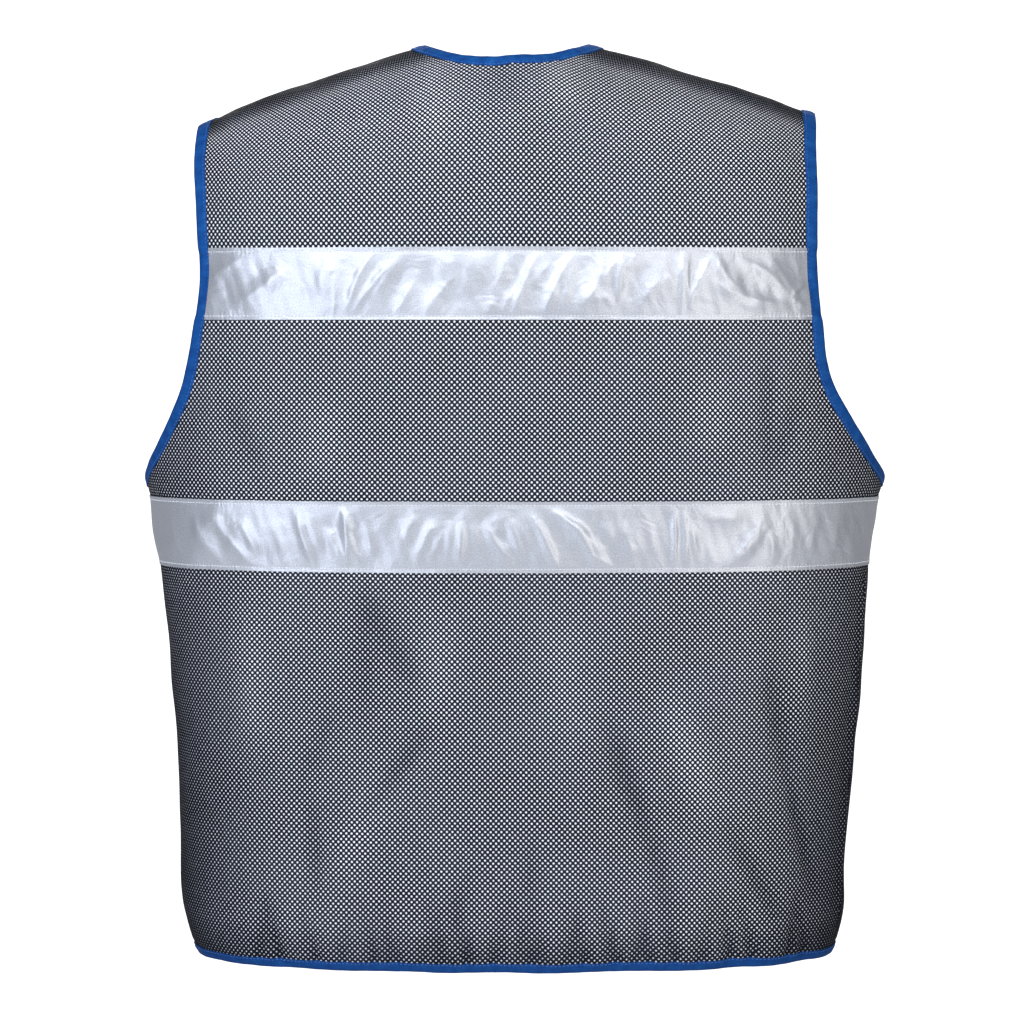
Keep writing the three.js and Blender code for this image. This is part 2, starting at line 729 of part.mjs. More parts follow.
// Turns every triangle over if the closed geometry has a negative volume.
function outwardFacing(geometry) {
  const index = geometry.index.array;
  const position = geometry.attributes.position;
  const corner = (i) => new THREE.Vector3().fromBufferAttribute(position, index[i]);
  let volume = 0;
  for (let i = 0; i < index.length; i += 3) {
    volume += corner(i).dot(corner(i + 1).cross(corner(i + 2)));
  }
  if (volume < 0) {
    for (let i = 0; i < index.length; i += 3) {
      [index[i + 1], index[i + 2]] = [index[i + 2], index[i + 1]];
    }
    geometry.computeVertexNormals();
  }
  return geometry;
}

function solidOf(geometry) {
  const position = geometry.attributes.position;
  return new wasm.Manifold(new wasm.Mesh({
    numProp: 3,
    vertProperties: new Float32Array(position.array),
    triVerts: new Uint32Array(geometry.index.array),
  }));
}

function geometryOfSolid(solid) {
  const mesh = solid.getMesh();
  const geometry = new THREE.BufferGeometry();
  geometry.setAttribute('position', new THREE.Float32BufferAttribute(mesh.vertProperties, 3));
  geometry.setIndex([...mesh.triVerts]);
  geometry.computeVertexNormals();
  return geometry;
}

function boxSolid(width, depth, height, x, y, z) {
  const box = new THREE.BoxGeometry(width, depth, height);
  const points = [];
  const triangles = [];
  const places = new Map();
  const position = box.attributes.position;
  const slots = [];
  for (let i = 0; i < position.count; i += 1) {
    const point = new THREE.Vector3().fromBufferAttribute(position, i);
    const key = point.toArray().join(' ');
    if (!places.has(key)) {
      places.set(key, points.length);
      points.push(point.add(new THREE.Vector3(x, y, z)));
    }
    slots.push(places.get(key));
  }
  for (let i = 0; i < box.index.count; i += 3) {
    triangles.push([0, 1, 2].map((k) => slots[box.index.getX(i + k)]));
  }
  return solidOf(geometryOf(points, triangles));
}

// Reflective tape sewn flat on the panel: a skin over the panel's cells, cut between two levels.
function tapeGeometry(cells, topDrop) {
  const skin = solidOf(clothGeometry(cells, clothGap + tapeThickness, clothGap));
  const width = 4 * chestHalfWidth;
  const slab = boxSolid(width, width, tapeHeight, 0, 0, -topDrop - tapeHeight / 2);
  return geometryOfSolid(skin.intersect(slab));
}

// The zip: tape behind both fronts, the coil standing up between them, and slider and pull.
function zipGeometry(leftFront) {
  const bottom = hemHeight + bindingWidth + zipEndClearance;
  const top = leftFront.strips.neck.inner[0].climb - zipEndClearance;
  const steps = lowerRows + zipRows;
  const points = [];
  const half = zipTapeWidth / 2;
  const coil = zipCoilWidth / 2;
  const tapeFace = -panelThickness - zipClearance;
  const section = [
    { x: half, lift: tapeFace }, { x: coil, lift: tapeFace }, { x: coil, lift: -zipCoilSink },
    { x: -coil, lift: -zipCoilSink }, { x: -coil, lift: tapeFace }, { x: -half, lift: tapeFace },
    { x: -half, lift: tapeFace - zipTapeThickness }, { x: half, lift: tapeFace - zipTapeThickness },
  ];
  for (let i = 0; i <= steps; i += 1) {
    const climb = bottom + ((top - bottom) * i) / steps;
    for (const { x, lift } of section) {
      const at = station(front, angleForX(x, climb), climb);
      points.push(pointAt(at).addScaledVector(normalAt(at), lift));
    }
  }
  const ring = section.length;
  const triangles = [];
  for (let i = 0; i < steps; i += 1) {
    for (let k = 0; k < ring; k += 1) {
      const k2 = (k + 1) % ring;
      const a = i * ring + k;
      const b = i * ring + k2;
      triangles.push([a, b, b + ring], [a, b + ring, a + ring]);
    }
  }
  const caps = [[0, 1, 7], [1, 4, 6], [1, 6, 7], [4, 5, 6], [1, 2, 4], [2, 3, 4]];
  const last = steps * ring;
  for (const [a, b, c] of caps) triangles.push([a, c, b], [a + last, b + last, c + last]);
  const strip = solidOf(outwardFacing(geometryOf(points, triangles)));

  const face = pointAt(station(front, 0, top)).y;
  const sliderZ = top - sliderLength / 2 - sliderTopMargin;
  const sliderY = face + sliderSink - sliderHeight / 2;
  const slider = boxSolid(sliderWidth, sliderHeight, sliderLength, 0, sliderY, sliderZ);
  const pullZ = sliderZ + sliderLength / 2 - pullSetback - pullLength / 2;
  const pullY = sliderY - sliderHeight / 2 - pullThickness / 2 + pullSink;
  const pull = boxSolid(pullWidth, pullThickness, pullLength, 0, pullY, pullZ);
  return geometryOfSolid(strip.add(slider).add(pull));
}

const finish = {
  knit: { color: 0x3a4050, roughness: 0.9, metalness: 0 },
  reflective: { color: 0xc4cad6, roughness: 0.35, metalness: 0.3 },
  binding: { color: 0x1a4c96, roughness: 0.8, metalness: 0 },
  zip: { color: 0x17191f, roughness: 0.55, metalness: 0 },
};

const vest = new THREE.Group();

function addPiece(name, geometry, look) {
  const mesh = new THREE.Mesh(geometry, new THREE.MeshStandardMaterial(look));
  mesh.name = name;
  vest.add(mesh);
}

const backLeft = halfPanel(back, left);
const backRight = halfPanel(back, right);
const frontLeft = halfPanel(front, left);
const frontRight = halfPanel(front, right);

const panels = [
  { place: 'back', panel: 'back_panel', halves: [backLeft, backRight] },
  { place: 'front_left', panel: 'front_panel_left', halves: [frontLeft] },
  { place: 'front_right', panel: 'front_panel_right', halves: [frontRight] },
];
for (const { place, panel, halves } of panels) {
  const open = halves.flatMap(patchCells);
  const bound = halves.flatMap(stripCells);
  addPiece(panel, clothGeometry([...open, ...bound], 0, -panelThickness), finish.knit);
  addPiece(`chest_band_${place}`, tapeGeometry(open, chestTapeDrop), finish.reflective);
  addPiece(`waist_band_${place}`, tapeGeometry(open, waistTapeDrop), finish.reflective);
}

const run = (half, edge, reversed) => ({ strip: half.strips[edge], reversed });
addPiece('neck_binding', bindingGeometry([
  run(frontLeft, 'neck', false), run(backLeft, 'neck', true),
  run(backRight, 'neck', false), run(frontRight, 'neck', true),
], false), finish.binding);
addPiece('armhole_binding_left', bindingGeometry([
  run(backLeft, 'armhole', false), run(frontLeft, 'armhole', true),
], true), finish.binding);
addPiece('armhole_binding_right', bindingGeometry([
  run(backRight, 'armhole', false), run(frontRight, 'armhole', true),
], true), finish.binding);
addPiece('hem_binding', bindingGeometry([
  run(frontLeft, 'hem', false), run(backLeft, 'hem', true),
  run(backRight, 'hem', false), run(frontRight, 'hem', true),
], false), finish.binding);
addPiece('front_zip', zipGeometry(frontLeft), finish.zip);

export default vest;
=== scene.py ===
# A cooling vest for work, seen from behind: padded panels of dark open knit over white wadding,
# silver reflective tape round chest and waist, royal-blue bias tape on the edges and a front zip.
import math
import bmesh
import bpy
import numpy as np
from mathutils import Matrix, Vector


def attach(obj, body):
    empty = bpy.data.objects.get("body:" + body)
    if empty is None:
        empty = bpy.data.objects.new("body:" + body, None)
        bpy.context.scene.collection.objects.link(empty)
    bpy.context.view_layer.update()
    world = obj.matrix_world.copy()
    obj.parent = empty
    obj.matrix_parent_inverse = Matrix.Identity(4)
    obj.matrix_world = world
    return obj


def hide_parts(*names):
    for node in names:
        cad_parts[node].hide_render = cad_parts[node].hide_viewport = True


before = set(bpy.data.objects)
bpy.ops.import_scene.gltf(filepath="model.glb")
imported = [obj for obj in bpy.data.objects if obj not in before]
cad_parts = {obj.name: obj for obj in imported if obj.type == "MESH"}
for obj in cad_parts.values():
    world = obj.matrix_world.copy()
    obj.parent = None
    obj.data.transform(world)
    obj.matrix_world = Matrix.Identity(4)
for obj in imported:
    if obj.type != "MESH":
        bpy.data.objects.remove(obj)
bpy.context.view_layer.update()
scene = bpy.context.scene


# The studio: a pale floor that curves up into a backdrop, a wide soft box above and before the
# back of the vest, a narrow one on each side and one for the far side. The camera stands a little
# above the middle of the vest. Its sizes are in metres.
def linear(code):
    """An sRGB hex colour as Blender's linear colour."""
    parts = [int(code[i:i + 2], 16) / 255 for i in (1, 3, 5)]
    return tuple(c / 12.92 if c <= 0.04045 else ((c + 0.055) / 1.055) ** 2.4 for c in parts) + (1.0,)


class Shader:
    """A material's node tree, with one short call to add and link a node."""

    def __init__(self, name, **sockets):
        self.material = bpy.data.materials.new(name)
        self.material.use_nodes = True
        self.tree = self.material.node_tree
        self.surface = self.tree.nodes["Principled BSDF"]
        for label, value in sockets.items():
            self.surface.inputs[label.replace("_", " ")].default_value = value

    def add(self, kind, operation=None, inputs=None, **settings):
        node = self.tree.nodes.new(kind)
        if operation:
            node.operation = operation
        for label, value in settings.items():
            setattr(node, label, value)
        for place, value in (inputs or {}).items():
            if isinstance(value, bpy.types.NodeSocket):
                self.tree.links.new(value, node.inputs[place])
            else:
                node.inputs[place].default_value = value
        return node

    def math(self, operation, *values):
        return self.add("ShaderNodeMath", operation, dict(enumerate(values))).outputs[0]

    def vector(self, operation, *values):
        return self.add("ShaderNodeVectorMath", operation, dict(enumerate(values))).outputs[0]

    def ramp(self, value, *stops):
        """Turns a value into a colour through (place, colour) stops."""
        node = self.add("ShaderNodeValToRGB", inputs={0: value})
        band = node.color_ramp
        while len(band.elements) < len(stops):
            band.elements.new(1.0)
        for element, (place, colour) in zip(band.elements, stops):
            element.position = place
            element.color = linear(colour)
        return node.outputs[0]

    def mix(self, share, first, second):
        return self.add(
            "ShaderNodeMix", inputs={0: share, 6: first, 7: second}, data_type="RGBA").outputs[2]

    def link(self, output, label):
        self.tree.links.new(output, self.surface.inputs[label])

    def bump(self, height, depth, strength=1.0, below=None):
        inputs = {"Height": height, "Distance": depth, "Strength": strength}
        if below is not None:
            inputs["Normal"] = below
        return self.add("ShaderNodeBump", inputs=inputs).outputs[0]


def make_object(name, points, faces, smooth=True):
    """A mesh object at the origin from points in metres and a list or array of faces."""
    mesh = bpy.data.meshes.new(name)
    mesh.from_pydata([tuple(p) for p in points], [], [tuple(int(i) for i in f) for f in faces])
    mesh.polygons.foreach_set("use_smooth", [smooth] * len(mesh.polygons))
    mesh.update()
    piece = bpy.data.objects.new(name, mesh)
    scene.collection.objects.link(piece)
    return piece


def look_at(holder, place, aim):
    """Places a lamp or camera and turns it towards a point."""
    holder.location = place
    holder.rotation_euler = (Vector(aim) - Vector(place)).to_track_quat("-Z", "Y").to_euler()


floor_height, floor_front, half_span = -2.2, 6.0, 9.0
curve, backdrop_at, backdrop_top = 1.5, -7.2, 7.0
sweep = [(floor_front, floor_height)]
sweep += [
    (backdrop_at + curve - curve * math.sin(a), floor_height + curve - curve * math.cos(a))
    for a in np.linspace(0, math.pi / 2, 13)
]
sweep.append((backdrop_at, backdrop_top))
sweep_points = [(x, y, z) for y, z in sweep for x in (-half_span, half_span)]
sweep_faces = [(2 * i, 2 * i + 1, 2 * i + 3, 2 * i + 2) for i in range(len(sweep) - 1)]
backdrop = make_object("backdrop", sweep_points, sweep_faces)
# Matt white paper. It is evenly white to look at, but throws little light on the vest.
white, paper_light, sky_light, seen_light = linear("#fdfdfe"), 0.1, 0.13, 1.0
paper = Shader("white_paper", Base_Color=linear("#f7f7f8"), Roughness=0.9, Emission_Color=white)
paper_seen = paper.add("ShaderNodeLightPath").outputs["Is Camera Ray"]
paper_glow = paper.add("ShaderNodeMapRange", inputs={
    "Value": paper_seen, "To Min": paper_light, "To Max": seen_light})
paper.link(paper_glow.outputs[0], "Emission Strength")
backdrop.data.materials.append(paper.material)


middle = (0.0, 0.0, -0.35)
for name, place, aim, width, height, power, colour in (
    ("key", (0.35, 2.75, 1.45), middle, 2.6, 1.5, 86.0, "#fbfcff"),
    ("strip_left", (1.8, 2.4, -0.2), middle, 0.5, 2.2, 30.0, "#eef3ff"),
    ("strip_right", (-1.8, 2.4, -0.2), middle, 0.5, 2.2, 25.0, "#fff6ea"),
    ("front", (0.0, -3.0, 0.5), (0.0, 0.0, -0.3), 2.2, 1.6, 75.0, "#ffffff"),
):
    lamp = bpy.data.lights.new(name, "AREA")
    lamp.shape = "RECTANGLE"
    lamp.size = width
    lamp.size_y = height
    lamp.energy = power
    lamp.color = linear(colour)[:3]
    soft_box = bpy.data.objects.new(name, lamp)
    look_at(soft_box, place, aim)
    scene.collection.objects.link(soft_box)

world = bpy.data.worlds.new("studio")
world.use_nodes = True
sky = world.node_tree.nodes["Background"]
sky.inputs["Color"].default_value = white
seen_directly = world.node_tree.nodes.new("ShaderNodeLightPath").outputs["Is Camera Ray"]
sky_strength = world.node_tree.nodes.new("ShaderNodeMapRange")
sky_strength.inputs["To Min"].default_value = sky_light
sky_strength.inputs["To Max"].default_value = seen_light
world.node_tree.links.new(seen_directly, sky_strength.inputs["Value"])
world.node_tree.links.new(sky_strength.outputs[0], sky.inputs["Strength"])
scene.world = world
scene.view_settings.view_transform = "Standard"

camera = bpy.data.objects.new("camera", bpy.data.cameras.new("camera"))
camera_place, camera_aim, focal_length = (0.0, 2.8, -0.2), (0.0, 0.0, -0.333), 134.86
camera.data.sensor_width = 36.0
camera.data.lens = focal_length
look_at(camera, camera_place, camera_aim)
scene.collection.objects.link(camera)
scene.camera = camera


# Back panel: one padded sandwich of dark open knit over white wadding that rolls over both
# shoulders. It is cut flat, darted by its edges and hangs from the shoulders in soft folds.
# The form is a rounded rectangle in cross-section that closes over the shoulders. Everything on
# the vest is worked out in mm, and each mesh is made in metres.
BODY_LENGTH, CHEST, BACK_DEPTH, FRONT_DEPTH = 652.0, 268.0, 128.0, 124.0
BLADE, SQUARENESS = -150.0, 0.03
SHOULDER, SHOULDER_DROP, SEAM_FORWARD = 220.0, 46.0, 16.0
UNDERARM, SCOOP, SCOOP_FULLNESS = -306.0, 95.0, 1.85
ACROSS = {1: 222.0, -1: 207.0}
TIP = {1: 0.998, -1: 0.984}
TIP_REACHED = 0.95
NECK, NECK_SHIFT, NECK_BACK, NECK_FRONT = 61.5, 3.2, 72.0, -124.0
NECK_FALL, NECK_FULLNESS = 1.5, 0.75
HEM, PANEL, BINDING, ZIP_EDGE = -652.0, 3.0, 9.0, 4.0
SEAM_LAP = 0.12
SIDE_RADIUS, MEAN_RADIUS = 250.0, 235.0
QUARTER = math.pi / 2

body_sections = np.array([
    # down, left, right, back, front
    (0.2, 0.943, 0.943, 1.0, 0.95),
    (0.23, 0.943, 0.943, 1.0, 0.95),
    (0.353, 0.974, 0.975, 1.01, 0.99),
    (0.47, 0.993, 1.009, 0.985, 1.0),
    (0.497, 0.983, 0.994, 0.975, 1.0),
    (0.52, 0.976, 0.985, 0.966, 1.0),
    (0.562, 0.96, 0.971, 0.953, 0.993),
    (0.61, 0.948, 0.967, 0.94, 0.985),
    (0.7, 0.926, 0.953, 0.93, 0.97),
    (0.79, 0.912, 0.932, 0.935, 0.965),
    (0.878, 0.906, 0.914, 0.945, 0.96),
    (0.945, 0.898, 0.905, 0.935, 0.95),
    (0.968, 0.886, 0.896, 0.92, 0.935),
    (1.0, 0.858, 0.876, 0.885, 0.9),
])
shoulder_line = np.array([
    # out, left, right
    (0.0, -0.478, -0.478),
    (0.18, -0.26, -0.25),
    (0.32, -0.065, -0.04),
    (0.445, 0.095, 0.1),
    (0.645, 0.415, 0.395),
    (0.845, 0.735, 0.69),
    (1.0, 1.06, 0.97),
    (1.2, 1.5, 1.28),
])
armhole_run = np.array([
    # up, back left, back right, front left, front right
    (0.0, 0.998, 0.965, 1.02, 1.0),
    (0.27, 0.998, 0.967, 1.0, 0.98),
    (0.405, 0.992, 0.971, 0.995, 0.975),
    (0.54, 1.0, 0.969, 0.995, 0.975),
    (0.71, 1.016, 0.972, 1.01, 0.985),
    (0.85, 1.016, 0.98, 1.04, 1.01),
])
hem_folds = [
    # face, around, width, depth, rise
    (1, 0.42, 0.11, 0.8, 0.16),
    (1, 0.2, 0.1, 0.7, 0.3),
    (1, 0.03, 0.09, 0.8, 0.14),
    (1, -0.2, 0.12, 1.0, 0.4),
    (1, -0.44, 0.1, 0.9, 0.2),
    (1, -0.66, 0.12, 1.0, 0.42),
    (-1, 0.3, 0.14, 0.9, 0.25),
    (-1, 0.62, 0.14, 0.8, 0.35),
    (-1, -0.34, 0.14, 0.8, 0.3),
    (-1, -0.64, 0.13, 0.9, 0.22),
]


def smooth_curve(at, value):
    """A smooth curve through a table's column, which never swings past its rows."""
    steep = np.diff(value) / np.diff(at)
    slope = np.concatenate([steep[:1], np.zeros(len(steep) - 1), steep[-1:]])
    same = steep[:-1] * steep[1:] > 0
    total = np.where(same, steep[:-1] + steep[1:], 1.0)
    slope[1:-1] = np.where(same, 2 * steep[:-1] * steep[1:] / total, 0.0)

    def curve(place):
        place = np.clip(place, at[0], at[-1])
        i = np.clip(np.searchsorted(at, place) - 1, 0, len(at) - 2)
        width = at[i + 1] - at[i]
        t = (place - at[i]) / width
        ease = t * t * (3 - 2 * t)
        start = t * (1 - t) ** 2 * slope[i] * width
        end = t * t * (t - 1) * slope[i + 1] * width
        return value[i] * (1 - ease) + value[i + 1] * ease + start + end

    return curve


left_share, right_share, back_share, front_share = (
    smooth_curve(body_sections[:, 0], body_sections[:, k]) for k in (1, 2, 3, 4)
)
drop_share = smooth_curve(
    np.concatenate([-shoulder_line[:0:-1, 0], shoulder_line[:, 0]]),
    np.concatenate([shoulder_line[:0:-1, 2], shoulder_line[:, 1]]),
)
angle_table = np.linspace(0, QUARTER, 4001)


def across(angle):
    return (np.sin(angle) + SQUARENESS * np.sin(3 * angle)) / (1 - SQUARENESS)


def fore(angle):
    return (np.cos(angle) - SQUARENESS * np.cos(3 * angle)) / (1 - SQUARENESS)


def half_width(x_side, height):
    down = -height / BODY_LENGTH
    return CHEST * np.where(np.asarray(x_side) < 0, right_share(down), left_share(down))


def depth(face, height):
    down = -height / BODY_LENGTH
    return BACK_DEPTH * back_share(down) if face > 0 else FRONT_DEPTH * front_share(down)


def ridge(x):
    return -SHOULDER_DROP * drop_share(x / SHOULDER)


def angle_for_x(x, height):
    share = np.abs(x) / half_width(x, np.minimum(height, BLADE))
    return np.sign(x) * np.interp(share, across(angle_table), angle_table)


def quarter_length(a, b):
    return math.pi / 4 * (3 * (a + b) - np.sqrt((3 * a + b) * (a + 3 * b)))


def plain_form(face, angle, climb):
    """The form without folds. Climb is the height up to the blades and then goes along the cloth."""
    angle, climb = np.broadcast_arrays(np.asarray(angle, float), np.asarray(climb, float))
    low = np.minimum(climb, BLADE)
    x = half_width(angle, low) * across(angle)
    y = face * depth(face, low) * fore(angle)
    rise = ridge(x) - BLADE
    reach = np.maximum(depth(face, BLADE) * fore(angle), 1e-9)
    length = quarter_length(reach, rise)
    turn = (climb - BLADE) / length
    near = np.clip(turn, 0, 1) * QUARTER
    far_reach = np.maximum(depth(-face, BLADE) * fore(angle), 1e-9)
    far = np.clip((turn - 1) * length / quarter_length(far_reach, rise), 0, 1) * QUARTER
    above = climb > BLADE
    past = turn > 1
    y = np.where(above, np.where(past, -face * far_reach * np.sin(far), face * reach * np.cos(near)), y)
    z = np.where(above, BLADE + rise * np.where(past, np.cos(far), np.sin(near)), climb)
    return np.stack([x, y, z], -1)


def unit(vectors):
    return vectors / np.maximum(np.linalg.norm(vectors, axis=-1, keepdims=True), 1e-12)


def outward(shape, face, angle, climb):
    turn, rise = 0.002, 0.5
    sideways = shape(face, angle + turn, climb) - shape(face, angle - turn, climb)
    upward = shape(face, angle, climb + rise) - shape(face, angle, climb - rise)
    return unit(np.cross(sideways, upward) * -face)


def fold_depth(face, angle, climb):
    total = np.zeros(np.broadcast(angle, climb).shape)
    for side, around, width, share, rise in hem_folds:
        if side == face:
            off = np.clip(np.abs(angle / QUARTER - around) / width, 0, 1)
            up = np.clip((climb - HEM) / (rise * BODY_LENGTH), 0, 1)
            total += share * np.cos(off * QUARTER) ** 2 * (1 - up) ** 2
    return PANEL * total


def form(face, angle, climb):
    """The outer face of the cloth with the large folds that the solid part has too."""
    sunk = fold_depth(face, angle, climb)[..., None]
    return plain_form(face, angle, climb) - outward(plain_form, face, angle, climb) * sunk


def shoulder_seam(face, x):
    """The place on the shoulder seam, a little in front of the ridge, at an x."""
    x = np.asarray(x, float)
    angle = angle_for_x(x, BLADE)
    rise = ridge(x) - BLADE
    length = quarter_length(depth(face, BLADE) * fore(angle), rise)
    front_reach = depth(-1, BLADE) * fore(angle)
    if face < 0:
        climb = BLADE + length * np.arccos(np.minimum(SEAM_FORWARD / front_reach, 1)) / QUARTER
    else:
        turn = np.arcsin(np.minimum(SEAM_FORWARD / front_reach, 1)) / QUARTER
        climb = BLADE + length + turn * quarter_length(front_reach, rise)
    return np.stack([angle, climb], -1)


def step_from(face, at, way, distance):
    """Places on the form that lie a given way from others, along a direction in the cloth."""
    angle, climb = at[..., 0].copy(), at[..., 1].copy()
    target = form(face, angle, climb) + way * distance
    turn, rise = 0.001, 0.25
    for _ in range(4):
        here = form(face, angle, climb)
        sideways = (form(face, angle + turn, climb) - here) / turn
        upward = (form(face, angle, climb + rise) - here) / rise
        miss = target - here
        a, b, c = ((u * v).sum(-1) for u, v in ((sideways, sideways), (sideways, upward), (upward, upward)))
        along, up = (sideways * miss).sum(-1), (upward * miss).sum(-1)
        scale = a * c - b * b
        angle += (c * along - b * up) / scale
        climb += (a * up - b * along) / scale
    return np.stack([angle, climb], -1)


def inner_line(face, edge, turn):
    """The inner line of a binding, one binding width into the panel from its edge."""
    points = form(face, edge[:, 0], edge[:, 1])
    tangent = points[np.minimum(np.arange(len(edge)) + 1, len(edge) - 1)]
    tangent = unit(tangent - points[np.maximum(np.arange(len(edge)) - 1, 0)])
    inward = np.cross(outward(form, face, edge[:, 0], edge[:, 1]), tangent) * turn
    return step_from(face, edge, inward, BINDING)


def seam_step(face, x, direction):
    start = form(face, *shoulder_seam(face, x))
    step = direction * BINDING
    for _ in range(4):
        end = form(face, *shoulder_seam(face, x + step))
        step *= BINDING / np.linalg.norm(end - start)
    return shoulder_seam(face, x + step)


def armhole_strip(face, hand, scoop_steps, run_steps):
    column = {(1, 1): 1, (1, -1): 2, (-1, 1): 3, (-1, -1): 4}[face, hand]
    tip = hand * ACROSS[1] * TIP[hand]
    top = shoulder_seam(face, tip)
    width_curve = smooth_curve(
        np.concatenate([armhole_run[:, 0], [TIP_REACHED, 1.0]]),
        np.concatenate([ACROSS[face] * armhole_run[:, column], [abs(tip)] * 2]),
    )
    run_length = top[1] - UNDERARM
    scoop_share = SCOOP / run_length
    swing = QUARTER * np.arange(scoop_steps + 1) / scoop_steps
    up = scoop_share * (1 - np.maximum(np.cos(swing), 0) ** (2 / SCOOP_FULLNESS))
    column_angle = np.abs(angle_for_x(hand * width_curve(up), BLADE))
    angle = hand * (QUARTER - (QUARTER - column_angle) * np.sin(swing) ** (2 / SCOOP_FULLNESS))
    scoop = np.stack([angle, UNDERARM + up * run_length], -1)
    up = scoop_share + (1 - scoop_share) * np.arange(1, run_steps + 1) / run_steps
    run = np.stack([angle_for_x(hand * width_curve(up), BLADE), UNDERARM + up * run_length], -1)
    edge = np.concatenate([scoop, run])
    edge[-1] = top
    inner = inner_line(face, edge, -face * hand)
    inner[0] = (hand * QUARTER, UNDERARM - BINDING)
    inner[-1] = seam_step(face, tip, -hand)
    return edge, inner


def front_neck(hand, share):
    """Places on the front neckline, a soft V, by the share of the way down, with their x."""
    ridge_x = abs(NECK_SHIFT + hand * NECK)
    x = hand * (ZIP_EDGE + (ridge_x - ZIP_EDGE) * (1 - share ** NECK_FALL) ** NECK_FULLNESS)
    angle = angle_for_x(x, BLADE)
    rise = ridge(x) - BLADE
    length = quarter_length(depth(-1, BLADE) * fore(angle), rise)
    low_turn = np.arcsin((NECK_FRONT - BLADE) / rise) / QUARTER
    return np.stack([angle, BLADE + length * (1 + (low_turn - 1) * share)], -1), x


def neck_seam(hand):
    shares = np.linspace(0, 0.5, 5001)
    at, _ = front_neck(hand, shares)
    return float(np.interp(SEAM_FORWARD, -form(-1, at[:, 0], at[:, 1])[:, 1], shares))


def back_neck(turn):
    x = NECK_SHIFT + NECK * np.cos(turn)
    angle = angle_for_x(x, BLADE)
    reach = depth(1, BLADE) * fore(angle)
    share = np.arccos(np.clip(NECK_BACK * np.sin(turn) / reach, -1, 1)) / QUARTER
    return np.stack([angle, BLADE + quarter_length(reach, ridge(x) - BLADE) * share], -1)


def neck_strip(face, hand, steps):
    """Half of a neckline: from the middle of the back, or from the zip, to the shoulder seam."""
    if face < 0:
        share = neck_seam(hand)
        fall = 1 + (share - 1) * np.arange(steps) / steps
        edge, _ = front_neck(hand, fall)
    else:
        middle = math.acos(-NECK_SHIFT / NECK)
        end = 0.0 if hand > 0 else math.pi
        edge = back_neck(middle + (end - middle) * np.arange(steps) / (steps - 1))
    seam_x = float(front_neck(hand, neck_seam(hand))[1])
    edge = np.concatenate([edge, shoulder_seam(face, seam_x)[None]])
    inner = inner_line(face, edge, face * hand)
    if face > 0:
        down = step_from(1, edge[:1], np.array([0.0, 0.0, -1.0]), BINDING)
        inner[0] = (0.0, down[0, 1])
    else:
        points = form(-1, edge[:2, 0], edge[:2, 1])
        slant = abs(unit(points[1] - points[0])[0])
        low = edge[0, 1] - BINDING / slant
        inner[0] = (float(angle_for_x(hand * ZIP_EDGE, low)), low)
    inner[-1] = seam_step(face, seam_x, hand)
    return edge, inner


def hem_strip(face, hand, steps):
    lines = []
    for climb in (HEM, HEM + BINDING):
        start = 0.0 if face > 0 else float(angle_for_x(hand * ZIP_EDGE, climb))
        angle = start + (hand * QUARTER - start) * np.arange(steps + 1) / steps
        lines.append(np.stack([angle, np.full(steps + 1, climb)], -1))
    return lines


def line_between(start, end, steps):
    share = np.linspace(0, 1, steps + 1)[:, None]
    return start + (end - start) * share


def blended(bottom, top, start, end):
    """A grid of places blended from its four border lines."""
    u = np.linspace(0, 1, len(bottom))[None, :, None]
    v = np.linspace(0, 1, len(start))[:, None, None]
    grid = (1 - v) * bottom[None] + v * top[None] + (1 - u) * start[:, None] + u * end[:, None]
    grid -= (1 - v) * ((1 - u) * bottom[0] + u * bottom[-1]) + v * ((1 - u) * top[0] + u * top[-1])
    grid[0], grid[-1], grid[:, 0], grid[:, -1] = bottom, top, start, end
    return grid


